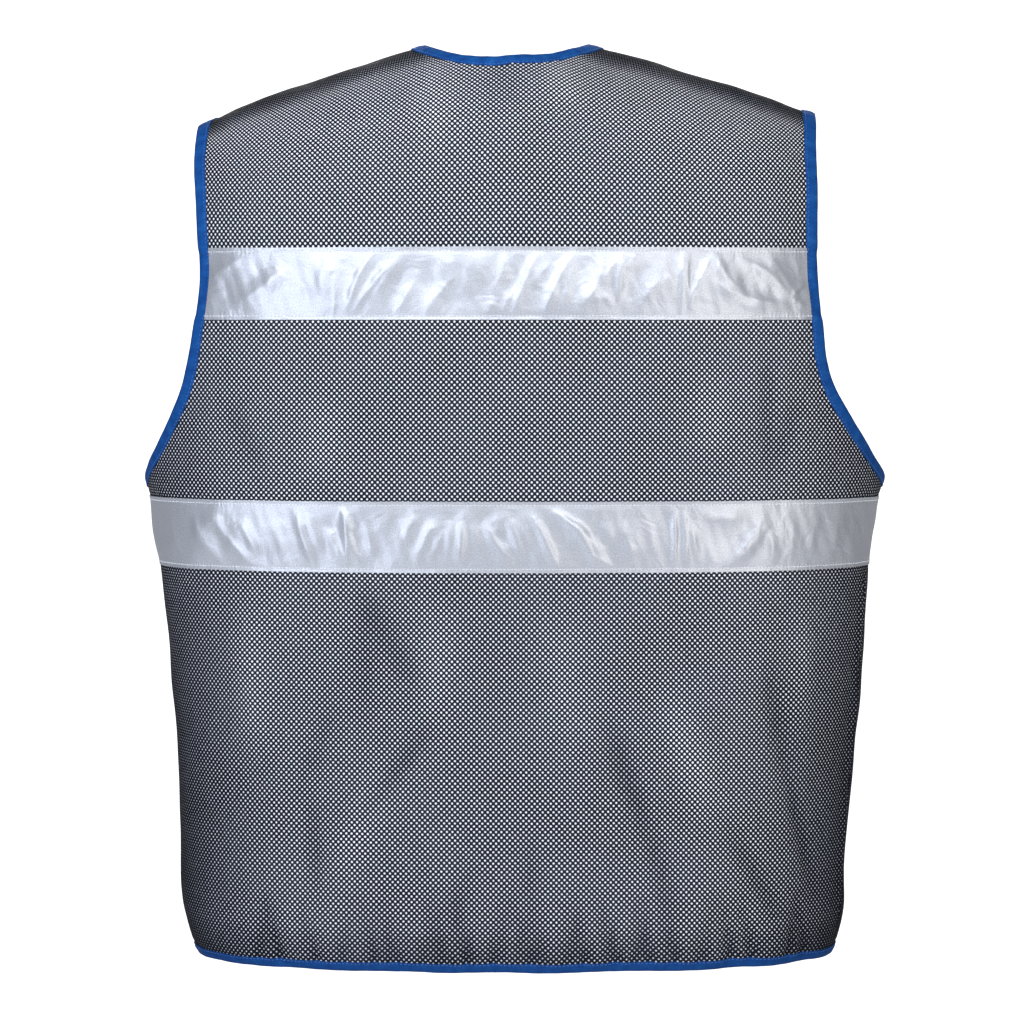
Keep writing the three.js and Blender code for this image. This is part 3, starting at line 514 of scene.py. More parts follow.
def half_panel(face, hand, fine):
    """One half of the back, or one front, as grids of places that share their borders."""
    columns, scoop_columns, low_rows = 10 * fine, 3 * fine, 16 * fine
    scoop_steps, run_steps = 6 * fine, 10 * fine
    armhole = armhole_strip(face, hand, scoop_steps, run_steps)
    side = armhole[1]
    hem = hem_strip(face, hand, columns + scoop_columns)
    chest = UNDERARM + 0.2 * SCOOP

    def middle(climb):
        return 0.0 * climb if face > 0 else angle_for_x(hand * ZIP_EDGE, climb)

    def column_up(start, end, steps, angle_at):
        climb = start[1] + (end[1] - start[1]) * np.linspace(0, 1, steps + 1)
        line = np.stack([angle_at(climb), climb], -1)
        line[0], line[-1] = start, end
        return line

    corner = side[scoop_columns]
    middle_low = np.array([float(middle(np.array(chest))), chest])
    chest_row = np.concatenate([line_between(middle_low, corner, columns), side[:scoop_columns][::-1]])
    low_middle = column_up(hem[1][0], middle_low, low_rows, middle)
    low_side = column_up(hem[1][-1], side[0], low_rows, lambda c: np.full(c.shape, hand * QUARTER))
    grids = [blended(hem[1], chest_row, low_middle, low_side)]
    arm_side = side[scoop_columns:]
    upper_bottom = chest_row[:columns + 1]

    def seam_line(start, steps):
        ends = form(face, *start)[0], form(face, *side[-1])[0]
        line = shoulder_seam(face, np.linspace(*ends, steps + 1))
        line[0], line[-1] = start, side[-1]
        return line

    if face > 0:
        yoke_rows, neck_columns = 3 * fine, 3 * fine
        neck = neck_strip(face, hand, neck_columns + yoke_rows)
        upper_rows = len(arm_side) - 1 - yoke_rows
        corner = neck[1][neck_columns]
        yoke_bottom = line_between(corner, arm_side[upper_rows], columns - neck_columns)
        top = np.concatenate([neck[1][:neck_columns], yoke_bottom])
        rise = line_between(middle_low, neck[1][0], upper_rows)
        grids.append(blended(upper_bottom, top, rise, arm_side[:upper_rows + 1]))
        yoke_top = seam_line(neck[1][-1], columns - neck_columns)
        grids.append(blended(yoke_bottom, yoke_top, neck[1][neck_columns:], arm_side[upper_rows:]))
    else:
        zip_rows = 5 * fine
        neck = neck_strip(face, hand, len(arm_side) - 1 - zip_rows)
        rise = column_up(middle_low, neck[1][0], zip_rows, middle)[:-1]
        inner = np.concatenate([rise, neck[1]])
        grids.append(blended(upper_bottom, seam_line(neck[1][-1], columns), inner, arm_side))
    strips = {"armhole": armhole, "neck": neck, "hem": hem}
    return {"face": face, "grids": grids, "strips": strips}


FINE = 5
halves = {(f, h): half_panel(f, h, FINE) for f in (1, -1) for h in (1, -1)}

# Arc length round the body from the middle, so that the knit keeps one size over the whole vest.
ARC_COLUMNS, ARC_ROWS, ARC_TOP = 60, 120, 90
arc_angles = np.linspace(0, QUARTER, ARC_COLUMNS + 1)
arc_climbs = np.linspace(HEM, ARC_TOP, ARC_ROWS + 1)
arc_lengths = {}
for arc_face in (1, -1):
    for arc_hand in (1, -1):
        arc_points = plain_form(arc_face, arc_hand * arc_angles[None, :], arc_climbs[:, None])
        arc_steps = np.linalg.norm(np.diff(arc_points, axis=1), axis=-1)
        arc_lengths[arc_face, arc_hand] = np.concatenate(
            [np.zeros((len(arc_climbs), 1)), np.cumsum(arc_steps, axis=1)], axis=1)


def round_body(face, angle, climb):
    """The distance round the body from its middle, in mm, plus to the left."""
    result = np.zeros(np.broadcast(angle, climb).shape)
    a = np.clip(np.abs(angle) / QUARTER * ARC_COLUMNS, 0, ARC_COLUMNS - 0.001)
    c = np.clip((climb - HEM) / (ARC_TOP - HEM) * ARC_ROWS, 0, ARC_ROWS - 0.001)
    i, j = a.astype(int), c.astype(int)
    s, t = a - i, c - j
    for hand in (1, -1):
        table = arc_lengths[face, hand]
        low = table[j, i] * (1 - s) + table[j, i + 1] * s
        high = table[j + 1, i] * (1 - s) + table[j + 1, i + 1] * s
        result = np.where(np.sign(angle + 1e-12) == hand, hand * (low * (1 - t) + high * t), result)
    return result


# Soft folds of the hanging cloth on the back, as lines from one place to another. Places are mm
# round the body (plus to the left) and mm of climb, and a plus height is a swelling.
back_folds = [
    # from round, from climb, to round, to climb, width, height
    (-67, -473, -98, -561, 7, -3.0), (-95, -547, -117, -620, 6, -2.2),
    (-183, -434, -202, -525, 7, -2.6), (-198, -511, -229, -603, 6, -2.6),
    (-150, -547, -202, -627, 6, -2.2), (54, -473, 111, -550, 6, -2.4),
    (143, -525, 139, -603, 5, -2.2), (102, -378, 105, -476, 8, -1.4),
    (109, -381, 64, -455, 8, -2.0), (122, -455, 155, -532, 7, -1.4),
    (32, -575, 43, -631, 5, -1.6), (-12, -554, -14, -606, 6, -1.6),
    (-183, -207, -181, -308, 6, -2.0), (11, 5, 3, -50, 14, -1.6),
    (190, -385, 185, -504, 14, 1.8), (-106, -448, -145, -547, 14, 2.2),
    (-211, -392, -213, -483, 9, 1.8), (51, -385, 53, -490, 14, 1.6),
    (85, -504, 125, -589, 12, 1.8), (58, 8, 53, -85, 14, 1.8),
    (-32, 5, -41, -50, 12, 2.0), (134, -243, 131, -308, 16, 1.6),
    (-140, -228, -140, -286, 16, 1.6), (-31, -392, -48, -504, 18, 1.4),
    (206, -246, 176, -304, 8, -1.8), (-207, -246, -186, -300, 7, -1.8),
]
front_folds = [
    # from round, from climb, to round, to climb, width, height
    (70, -200, 110, -300, 14, -1.8),
    (-70, -200, -112, -300, 14, -1.8),
    (95, -400, 130, -560, 15, -2.4),
    (-92, -395, -124, -560, 15, -2.4),
    (180, -390, 205, -540, 12, -2.0),
    (-184, -390, -206, -545, 12, -2.0),
    (40, -380, 52, -520, 14, 1.6),
    (-42, -385, -56, -520, 14, 1.6),
]
# Short gathers that the hem binding holds: mm round the back from its middle, and depth.
GATHER_HEIGHT, GATHER_DEPTH, GATHER_WIDTH = 54.0, 2.3, 4.2
hem_gathers = [
    (185, 1.2), (167, 1.9), (139, 1.3), (122, 1.0), (95, 1.6), (82, 1.5), (62, 0.9), (46, 1.6),
    (29, 2.0), (13, 1.4), (-13, 1.6), (-23, 1.4), (-39, 1.0), (-52, 1.5), (-75, 1.9), (-88, 1.2),
    (-100, 1.7), (-117, 1.9), (-134, 1.1), (-160, 1.9), (-176, 1.6), (-204, 1.5), (-222, 1.2),
]


def line_fold(across_cloth, climb, fold):
    """One fold: a rounded ridge or valley along a line that fades at both ends."""
    a0, c0, a1, c1, width, height = fold
    da, dc = a1 - a0, c1 - c0
    size = math.hypot(da, dc)
    along = ((across_cloth - a0) * da + (climb - c0) * dc) / size ** 2
    off = ((across_cloth - a0) * dc - (climb - c0) * da) / size
    fade = np.clip(1.25 - np.abs(along - 0.5) * 2, 0, 1)
    return height * np.exp(-((off / width) ** 2)) * fade * fade * (3 - 2 * fade)


def ripple(across_cloth, climb):
    """The slight unevenness of quilted cloth, from a few crossing waves."""
    waves = (
        # turns across, turns up, phase, height
        (0.071, 0.043, 0.3, 0.32), (0.113, -0.062, 1.7, 0.26), (-0.047, 0.128, 4.1, 0.24),
        (0.162, 0.091, 2.2, 0.15), (0.029, 0.083, 5.3, 0.34), (0.21, -0.137, 0.9, 0.1),
    )
    return sum(h * np.sin(a * across_cloth + c * climb + p) for a, c, p, h in waves)


# The tapes are sewn over the cloth at these levels, through both edges.
CHEST_TAPE, WAIST_TAPE, TAPE_WIDTH, SEAM_IN = -143.0, -320.0, 50.0, 2.5
BANDS = tuple((top, top - TAPE_WIDTH) for top in (CHEST_TAPE, WAIST_TAPE))
# The deep crease beside the right side seam, under the lower tape, and the swelling next to it.
CREASE_AT, CREASE_TOP, CREASE_END = math.radians(-77), -372.0, -636.0
side_crease = (
    # off the line, height, width
    (0.0, -5.0, 5.0),
    (13.0, 2.6, 8.0),
)
# How deep the seams, the ripple and the puff over the hem are, and how far each reaches, in mm.
RIPPLE, SIDE_FADE, HEM_PUFF = 0.8, 16.0, 1.8
SEAM_DIP, SEAM_REACH = 0.25, 4.0
SIDE_SEAM_DIP, SIDE_SEAM_REACH = 0.9, 5.0
TAPE_PRESS, PRESS_EDGE = 0.9, 4.0


def hanging_folds(face, u, climb):
    """The sum of the soft folds and of the gathers over the hem, in mm off the form."""
    lift = np.zeros(u.shape)
    for fold in back_folds if face > 0 else front_folds:
        lift = lift + line_fold(u, climb, fold)
    up = np.clip((climb - HEM - 4) / GATHER_HEIGHT, 0, 1)
    near_hem = (1 - up) * np.clip((climb - HEM) / 6, 0, 1)
    for number, (at, deep) in enumerate(hem_gathers):
        place = (at if face > 0 else -at * 0.93 + 6) + (14 if number % 3 else -10) * up
        dip = np.exp(-(((u - place) / GATHER_WIDTH) ** 2))
        lift = lift - GATHER_DEPTH * deep * near_hem * dip
    return lift, near_hem


def cloth_relief(face, angle, climb):
    """How far the cloth stands off the form, in mm, from its folds, gathers and seams."""
    u = round_body(face, angle, climb)
    folds, near_hem = hanging_folds(face, u, climb)
    side = np.abs(np.abs(angle) - QUARTER) * SIDE_RADIUS
    front_shift = 400 if face < 0 else 0
    lift = RIPPLE * ripple(u + front_shift, climb) + folds
    lift = lift * np.clip(side / SIDE_FADE, 0, 1) + HEM_PUFF * near_hem
    for top, bottom in BANDS:
        for line in (top - SEAM_IN, bottom + SEAM_IN):
            lift = lift - SEAM_DIP * np.exp(-(((climb - line) / SEAM_REACH) ** 2))
    below_arm = np.clip((UNDERARM - climb) / 20, 0, 1)
    lift = lift - SIDE_SEAM_DIP * np.exp(-((side / SIDE_SEAM_REACH) ** 2)) * below_arm
    if face > 0:
        lower = np.clip((CREASE_TOP - climb) / 25, 0, 1) * np.clip((climb - CREASE_END) / 30, 0, 1)
        across_crease = (angle - CREASE_AT) * MEAN_RADIUS
        for off, height, width in side_crease:
            lift = lift + lower * height * np.exp(-(((across_crease - off) / width) ** 2))
    return lift


def joined_grids(panels):
    """The places and four-sided cells of all grids of some panels, joined at their borders."""
    flat, cells, start = [], [], 0
    for half in panels:
        for grid in [*half["grids"], *map(np.stack, half["strips"].values())]:
            rows, columns = grid.shape[:2]
            index = start + np.arange(rows * columns).reshape(rows, columns)
            cell = np.stack([index[:-1, :-1], index[:-1, 1:], index[1:, 1:], index[1:, :-1]], -1)
            flat.append(grid.reshape(-1, 2))
            cells.append(cell.reshape(-1, 4))
            start += rows * columns
    at, seen = np.concatenate(flat), {}
    key = np.round(at * (1e5, 1e2)).astype(np.int64)
    first = np.array([seen.setdefault(tuple(k), i) for i, k in enumerate(key)])
    used, number = np.unique(first[np.concatenate(cells)], return_inverse=True)
    return at[used], number.reshape(-1, 4)


def outer_faces(cells, points, normal):
    """Faces from cells, less any doubled corner, turned the way of the normals."""
    faces = [tuple(dict.fromkeys(cell)) for cell in cells.tolist()]
    faces = [corners for corners in faces if len(corners) > 2]
    sample = np.array([corners[:3] for corners in faces])
    p = points[sample]
    facing = (np.cross(p[:, 1] - p[:, 0], p[:, 2] - p[:, 0]) * normal[sample[:, 0]]).sum(-1)
    return [corners if f > 0 else corners[::-1] for corners, f in zip(faces, facing)]


def mark_crisp(piece, rims, count):
    """Marks the edges along a cut rim as sharp on both faces of the cloth."""
    ends = np.empty(2 * len(piece.data.edges), dtype=np.int32)
    piece.data.edges.foreach_get("vertices", ends)
    ends = ends.reshape(-1, 2)
    at_rim = np.zeros(2 * count, dtype=bool)
    at_rim[np.array(rims).ravel()] = True
    crisp = at_rim[ends].all(axis=1) & ((ends < count).sum(axis=1) != 1)
    piece.data.attributes.new("sharp_edge", "BOOLEAN", "EDGE").data.foreach_set("value", crisp)


def lay_out(piece, places):
    """Gives a mesh its own map in metres of cloth, from one place for each vertex."""
    corners = np.empty(len(piece.data.loops), dtype=np.int32)
    piece.data.loops.foreach_get("vertex_index", corners)
    piece.data.uv_layers.new(name="cloth").data.foreach_set("uv", places[corners].ravel())


def drawn_in_and_shade(face, angle, climb, base, u):
    """How far the knit's holes are pulled closed, and with that how much painted shade the yarn and wadding
    get: at the sides, over the shoulders, lower down, at the hem and in the fold valleys. A hole is open at
    0 and three quarters smaller at 1."""
    low = np.clip((-climb - 60) / 540, 0, 1)
    below_ridge = ridge(base[:, 0]) - base[:, 2]
    round_side = np.clip((np.abs(angle) / QUARTER - 0.38) / 0.6, 0, 1)
    shut_and_shade = 0.05 + 0.11 * np.sqrt(low) + (0.15 + 0.62 * low) * round_side ** 1.6
    shut_and_shade = shut_and_shade + 0.85 * np.clip(1 - below_ridge / 17, 0, 1)
    shut_and_shade = shut_and_shade + 0.2 * np.clip((HEM + 30 - climb) / 30, 0, 1)
    return np.clip(shut_and_shade - 0.05 * hanging_folds(face, u, climb)[0], -0.15, 0.95)


def cloth_shell(name, panels, thickness, relief, inner_relief=0.7):
    """Closed cloth over half panels, with its outer and inner faces in two material slots."""
    at, cells = joined_grids(panels)
    face, angle, climb = panels[0]["face"], at[:, 0].copy(), at[:, 1].copy()
    base = form(face, angle, climb)
    normal = outward(form, face, angle, climb)
    lift = relief(face, angle, climb)
    at_side = np.abs(np.abs(angle) - QUARTER) < 1e-6
    base[:, 1] -= face * at_side * SEAM_LAP
    outer = base + normal * lift[:, None]
    inner = base + normal * (inner_relief * lift - thickness)[:, None]
    shown = outer_faces(cells, base, normal)
    count = len(base)
    steps = {(f[k], f[(k + 1) % len(f)]) for f in shown for k in range(len(f))}
    rims = sorted((q, p, p + count, q + count) for p, q in steps if (q, p) not in steps)
    faces = shown + [tuple(i + count for i in f[::-1]) for f in shown] + rims
    piece = make_object(name, np.concatenate([outer, inner]) / 1000, faces)
    mark_crisp(piece, rims, count)
    slots = [0] * len(shown) + [1] * len(shown) + [0] * len(rims)
    piece.data.polygons.foreach_set("material_index", slots)
    u = round_body(face, angle, climb)
    lay_out(piece, np.stack([np.tile(u, 2), np.tile(climb, 2)], -1) / 1000)
    # How far the holes are drawn in, with the painted shade that goes with it, kept on each point for the
    # knit.
    closure_and_shade = piece.data.attributes.new("drawn_in_and_shade", "FLOAT", "POINT")
    closure_and_shade.data.foreach_set("value", np.tile(drawn_in_and_shade(face, angle, climb, base, u), 2))
    return piece


def every(size):
    """A texture's scale for one grain in so many mm."""
    return 1000 / size


# A wave texture has one band in these shares of its unit: along an axis, and at a slant.
LEVEL_WAVE, SLANTED_WAVE = 2 * math.pi / 20, 2 * math.pi / 10


def mesh_knit(name, hole, thread, wadding, radius):
    """Open warp knit: rows of round holes over white wadding, each row half a step along. Hole is
    the step from one to the next, across and up, and radius the hole's own, in mm."""
    knit = Shader(name, Roughness=0.75, Specular_IOR_Level=0.06)
    where = knit.add("ShaderNodeUVMap", uv_map="cloth").outputs[0]
    noise = knit.add("ShaderNodeTexNoise", inputs={"Vector": where, "Scale": every(11.11), "Detail": 2.0})
    shake = knit.vector("MULTIPLY_ADD", noise.outputs["Color"], (0.0007, 0.0007, 0.0), where)
    grid = knit.vector("DIVIDE", shake, (hole[0] / 1000, hole[1] / 1000, 1.0))
    distances = []
    for shift in ((0.0, 0.0, 0.0), (0.5, 0.5, 0.0)):
        part = knit.vector("FRACTION", knit.vector("ADD", grid, shift))
        flat = knit.vector("MULTIPLY", knit.vector("SUBTRACT", part, (0.5, 0.5, 0.0)), (*hole, 0.0))
        length = knit.add("ShaderNodeVectorMath", "LENGTH", {0: flat})
        distances.append(length.outputs["Value"])
    near = knit.math("MINIMUM", *distances)
    drawn = knit.add("ShaderNodeAttribute", attribute_name="drawn_in_and_shade").outputs["Fac"]
    edge = knit.math("MULTIPLY_ADD", drawn, -0.75 * radius, radius)
    hollow = knit.add("ShaderNodeMapRange", interpolation_type="SMOOTHSTEP", inputs={
        0: near, 1: knit.math("SUBTRACT", edge, 0.16), 2: knit.math("ADD", edge, 0.12), 3: 1.0, 4: 0.0})
    hollow = hollow.outputs[0]
    patchy = knit.add("ShaderNodeTexNoise", inputs={"Vector": where, "Scale": every(71.4), "Detail": 3.0})
    yarn = knit.ramp(patchy.outputs[0], (0.3, thread[0]), (0.75, thread[1]))
    # Painted shade: where the holes are drawn in, the wadding darkens from its first colour to its second
    # and the yarn to near black.
    deep = knit.mix(drawn, linear(wadding[0]), linear(wadding[1]))
    packed_and_shaded_yarn = knit.mix(drawn, yarn, linear("#04060b"))
    knit.link(knit.mix(hollow, packed_and_shaded_yarn, deep), "Base Color")
    fibre = knit.add("ShaderNodeTexNoise", inputs={"Vector": where, "Scale": every(0.385), "Detail": 1.0})
    raised = knit.math("SUBTRACT", 1.0, hollow)
    knit.link(knit.bump(raised, 0.0007, 0.8, knit.bump(fibre.outputs[0], 0.0002, 0.35)), "Normal")
    return knit.material


# Polyester net, matt and nearly black, with the white wadding bright in its holes. The grey second wadding
# colour is painted shade, where the holes are drawn in.
outer_knit = mesh_knit(
    "open_knit_over_wadding", (3.85, 4.0), ("#171c28", "#262c3a"), ("#f3f6ff", "#485060"), 0.9)
# The wearer's side: a finer grey knit, which the neckline and armholes show. Its second backing colour is
# painted shade as well.
inner_knit = mesh_knit(
    "fine_inner_knit", (1.9, 2.0), ("#5a606d", "#6c7280"), ("#a6abb6", "#8b909b"), 0.5)


def panel_relief(face, angle, climb):
    """The cloth's relief, pressed down a little where a tape is sewn over it."""
    lift = cloth_relief(face, angle, climb)
    for top, bottom in BANDS:
        below_top = np.clip((top - climb) / PRESS_EDGE, 0, 1)
        lift = lift - TAPE_PRESS * below_top * np.clip((climb - bottom) / PRESS_EDGE, 0, 1)
    return lift


def dress_panel(name, panels, node):
    piece = cloth_shell(name, panels, PANEL, panel_relief)
    piece.data.materials.append(outer_knit)
    piece.data.materials.append(inner_knit)
    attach(piece, "root")
    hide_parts(node)
    return piece


back_panel = dress_panel("back_cloth", [halves[1, 1], halves[1, -1]], "back_panel")


# Front panels: the same padded sandwich, cut to a soft V at the neck, with a straight edge at the
# zip. They are sewn to the back at the side seams and a little in front of the shoulder line.
for hand, side_name in ((1, "left"), (-1, "right")):
    cloth = dress_panel(
        f"front_cloth_{side_name}", [halves[-1, hand]], f"front_panel_{side_name}")


# Reflective tape: silver glass-bead tape, 50 mm wide, sewn down along both edges round the chest
# and the waist. It is stiffer than the knit, so it stands off in puckers and slanting folds.
chest_puckers = [
    # left of the middle and share up the tape at both ends, bow, width, height
    (193, 0.2, 158, 0.69, 0, 7, 3), (213, 0.54, 186, 0.86, 2.1, 5, 1.8),
    (215, 0.34, 200, 0.39, 0, 2.2, 0.7), (214, 0.46, 203, 0.54, 0, 2, 0.6),
    (134, 0.34, 130, 0.89, 0, 8, 1.1), (125, 0.03, 123, 0.5, 0, 2.2, 0.9),
    (115, 0.11, 98, 0.94, 2.1, 3.5, 1.6), (111, 0.09, 83, 0.83, 1.4, 3, 1.5),
    (98, 0.29, 77, 0.89, 0, 4, 0.8), (81, 0.06, 70, 0.51, 0, 3, 1.1), (62, 0.03, 38, 0.63, 2.1, 5, 1),
    (35, 0.31, 29, 0.91, 0, 6, 0.9), (53, 0.57, 46, 0.94, 0, 7, 0.7), (18, 0.03, 13, 0.29, 0, 2, 0.8),
    (8, 0.03, 1, 0.4, 0, 2.4, 1), (8, 0.49, 6, 0.89, 0, 2.6, 0.9), (-1, 0.06, -18, 0.97, 1.4, 3.2, 2.2),
    (-22, 0.06, -42, 0.94, 1.4, 3.4, 2), (-34, 0.03, -43, 0.83, 0, 2.6, 1.2),
    (-11, 0.43, -28, 0.83, 0, 5, 0.8), (-50, 0.2, -63, 0.83, -2.8, 4.5, 2.2),
    (-56, 0.26, -70, 0.23, 3.5, 3, 1.3), (-63, 0.49, -73, 0.89, 0, 3.5, 1.3),
    (-74, 0.2, -76, 0.97, 0, 2.6, 1.7), (-81, 0.69, -87, 0.94, 0, 3, 1.1),
    (-90, 0.2, -115, 0.63, 3.5, 5, 2), (-94, 0.4, -111, 0.83, 0, 7, 0.9),
    (-118, 0.03, -119, 0.97, 0, 2, 2), (-122, 0.26, -122, 0.94, 0, 1.8, 1.4),
    (-123, 0.09, -140, 0.91, 2.1, 3.4, 2), (-143, 0.91, -161, 0.4, -3.5, 6, 2.4),
    (-141, 0.51, -193, 0.2, -2.8, 5, 2.4), (-162, 0.83, -196, 0.29, 3.5, 5.5, 2.8),
    (-181, 0.91, -197, 0.4, 0, 4, 1.3), (-206, 0.53, -195, 0.31, 0, 3, 1.5),
    (-206, 0.2, -195, 0.29, 0, 2.6, 1.2), (-153, 0.29, -174, 0.14, 0, 4, 1),
]
waist_puckers = [
    # left of the middle and share up the tape at both ends, bow, width, height
    (244, 0.83, 239, 0.14, 0, 9, 0.7), (225, 0.74, 206, 0.1, -1.4, 5.5, 2.4),
    (214, 0.83, 200, 0.43, 0, 6, 1.4), (200, 0.51, 181, 0.06, -1.4, 4, 2.2),
    (192, 0.71, 178, 0.26, 0, 5, 1.5), (169, 0.77, 160, 0.26, 0, 9, 0.7),
    (150, 0.8, 137, 0.06, -1.4, 3.6, 2.1), (144, 0.86, 133, 0.31, 0, 5, 0.9),
    (129, 0.63, 118, 0.14, 0, 3.4, 1.4), (118, 0.91, 116, 0.06, 1.4, 2.2, 1.9),
    (117, 0.83, 105, 0.06, -2.1, 3, 2.2), (112, 0.6, 120, 0.89, 0, 2.4, 0.9),
    (102, 0.71, 98, 0.2, 0, 4, 0.8), (90, 0.8, 84, 0.31, 0, 6, 0.6), (76, 0.43, 69, 0.8, 0, 4, 0.8),
    (67, 0.2, 55, 0.74, 0, 4, 1.5), (57, 0.14, 49, 0.57, 0, 3, 0.9), (43, 0.74, 45, 0.2, 0, 3, 0.9),
    (35, 0.83, 36, 0.09, 0, 3, 1.4), (27, 0.69, 24, 0.29, 0, 4, 0.7), (20, 0.71, 0, 0.09, 0, 4, 1.3),
    (11, 0.83, 8, 0.51, 0, 3, 0.8), (6, 0.89, -8, 0.2, 0, 4, 1.6), (-3, 0.77, -20, 0.06, 0, 4, 1),
    (-13, 0.83, -32, 0.03, 1.4, 3.6, 2.2), (-29, 0.89, -60, 0.03, 4.9, 2.6, 2.6),
    (-38, 0.77, -64, 0.14, 3.5, 3, 1.7), (-55, 0.26, -74, 0.03, 0, 3, 1),
    (-62, 0.71, -70, 0.43, 0, 5, 0.7), (-78, 0.71, -85, 0.2, 0, 6, 1),
    (-98, 0.83, -97, 0.14, 0, 6, 0.6), (-114, 0.89, -114, 0.03, 0, 1.8, 1.9),
    (-120, 0.86, -123, 0.06, 0, 2.2, 1.4), (-130, 0.14, -125, 0.71, 0, 3, 0.9),
    (-134, 0.8, -161, 0.74, 0, 5, 1), (-148, 0.06, -176, 0.74, -3.5, 5, 2),
    (-162, 0.2, -182, 0.71, 0, 5, 0.9), (-183, 0.09, -182, 0.57, 0, 4, 1),
    (-196, 0.14, -199, 0.71, 0, 5, 0.7), (-210, 0.11, -214, 0.71, 0, 5, 0.6),
    (-227, 0.14, -231, 0.77, 0, 5, 0.6), (-241, 0.2, -245, 0.77, 0, 4, 0.5),
]


def pucker(place, height, row):
    """One pucker: a crest along a bowed line, sharp on top, that fades at both ends."""
    x0, share0, x1, share1, bow, width, lift = row
    dx, dy = x1 - x0, (share1 - share0) * TAPE_WIDTH
    size = math.hypot(dx, dy)
    rise = height - share0 * TAPE_WIDTH
    along = ((place - x0) * dx + rise * dy) / size ** 2
    middle = np.clip(along, 0, 1)
    off = (((place - x0) * dy - rise * dx) / size - bow * 4 * middle * (1 - middle)) / width
    off = np.sqrt(np.where(off > 0, off, off * 0.7) ** 2 + 0.04) - 0.2
    fade = np.clip(1.3 - np.abs(along - 0.5) * 2, 0, 1)
    return lift * np.exp(-1.35 * off) * fade * fade * (3 - 2 * fade)


TAPE_BED, TALLEST_PUCKER = 0.8, 3.4


def band_relief(top, puckers, slack):
    """The lift of a tape: the cloth's own relief, a bed for it, its seams and its puckers. Slack
    scales the puckers' height."""
    def relief(face, angle, climb):
        place = half_width(angle, climb) * across(angle)
        height = climb - (top - TAPE_WIDTH)
        lift = np.zeros(place.shape)
        for row in puckers:
            lift = lift + slack * pucker(place, height, row)
        lift = TALLEST_PUCKER * np.tanh(lift / TALLEST_PUCKER)
        small = 0.16 * np.sin(0.31 * place + 0.12 * climb + 0.7)
        small = small + 0.1 * np.sin(0.67 * place - 0.23 * climb)
        from_seam = np.minimum(height, TAPE_WIDTH - height) - SEAM_IN
        rise_in = np.clip(from_seam / 16, 0, 1)
        free = 0.35 + 0.65 * rise_in * (2 - rise_in)
        groove = 0.16 * np.exp(-((from_seam / 0.9) ** 2))
        drawn = 0.14 * np.sin(place * 2.1) * np.exp(-((from_seam / 2.5) ** 2))
        return cloth_relief(face, angle, climb) + TAPE_BED + (lift + small) * free - groove + drawn
    return relief


def band_ends(face, hand, climb, clear=0.0, reach=1.0):
    """The angles at which a level line starts, at the middle or the zip, and ends, at the side
    seam or the armhole. Clear keeps it off the zip and reach off the seam."""
    side = halves[face, hand]["strips"]["armhole"][1]
    start = 0.0 if face > 0 else float(angle_for_x(hand * (ZIP_EDGE + clear), climb))
    if climb > side[0, 1]:
        return start, float(np.interp(climb, side[:, 1], side[:, 0]))
    return start, hand * QUARTER * reach


def band_grid(face, hand, top, spacing):
    """Rows of places round one half of the body between a tape's two edges."""
    levels = np.linspace(top - TAPE_WIDTH, top, int(TAPE_WIDTH / spacing) + 1)
    ends = np.array([band_ends(face, hand, climb) for climb in levels])
    width = np.abs(ends[:, 1] - ends[:, 0]).max() * MEAN_RADIUS
    share = np.linspace(0, 1, int(width / spacing) + 1)
    angle = ends[:, :1] + (ends[:, 1:] - ends[:, :1]) * share
    return np.stack([angle, np.broadcast_to(levels[:, None], angle.shape)], -1)


# Glass-bead tape: a silver satin that throws light back evenly, over a fine woven ground, and
# slightly creased by wear. The beads are drawn ten times too coarse, so that they show.
tape = Shader("reflective_tape", Metallic=0.56, Roughness=0.42)
tape_uv = tape.add("ShaderNodeUVMap", uv_map="cloth").outputs[0]
tape_spots = tape.add("ShaderNodeTexNoise", inputs={"Vector": tape_uv, "Scale": every(0.91), "Detail": 2.0})
tape.link(tape.ramp(tape_spots.outputs[0], (0.3, "#adb4c0"), (0.7, "#d0d5df")), "Base Color")
tape_weave = tape.add("ShaderNodeTexWave", inputs={
    "Vector": tape_uv, "Scale": every(1.496) * SLANTED_WAVE, "Distortion": 0.4}, bands_direction="DIAGONAL")
tape_ground = tape.bump(tape_weave.outputs["Fac"], 0.0001, 0.3)
tape_creases = tape.add("ShaderNodeTexNoise", inputs={
    "Vector": tape_uv, "Scale": every(16.67), "Detail": 4.0, "Roughness": 0.6, "Distortion": 0.8})
tape_slack = tape.bump(tape_creases.outputs[0], 0.0015, 0.55, tape_ground)
tape_beads = tape.add("ShaderNodeTexNoise", inputs={"Vector": tape_uv, "Scale": every(0.667)})
tape.link(tape.bump(tape_beads.outputs[0], 0.0002, 0.32, tape_slack), "Normal")

front_seed = np.random.default_rng(12)


def front_puckers():
    """Guessed puckers for a tape's front, 15 mm apart, in the columns of the tables above."""
    rows = []
    for at in np.arange(-240, 241, 15):
        low, high = sorted(front_seed.uniform(-0.1, 1.1, 2))
        place = at + front_seed.uniform(-6, 6)
        rows.append((place, low, place + front_seed.uniform(-22, 22), high + 0.2, 0,
                     front_seed.uniform(2.5, 6), front_seed.uniform(0.8, 2.2)))
    return rows


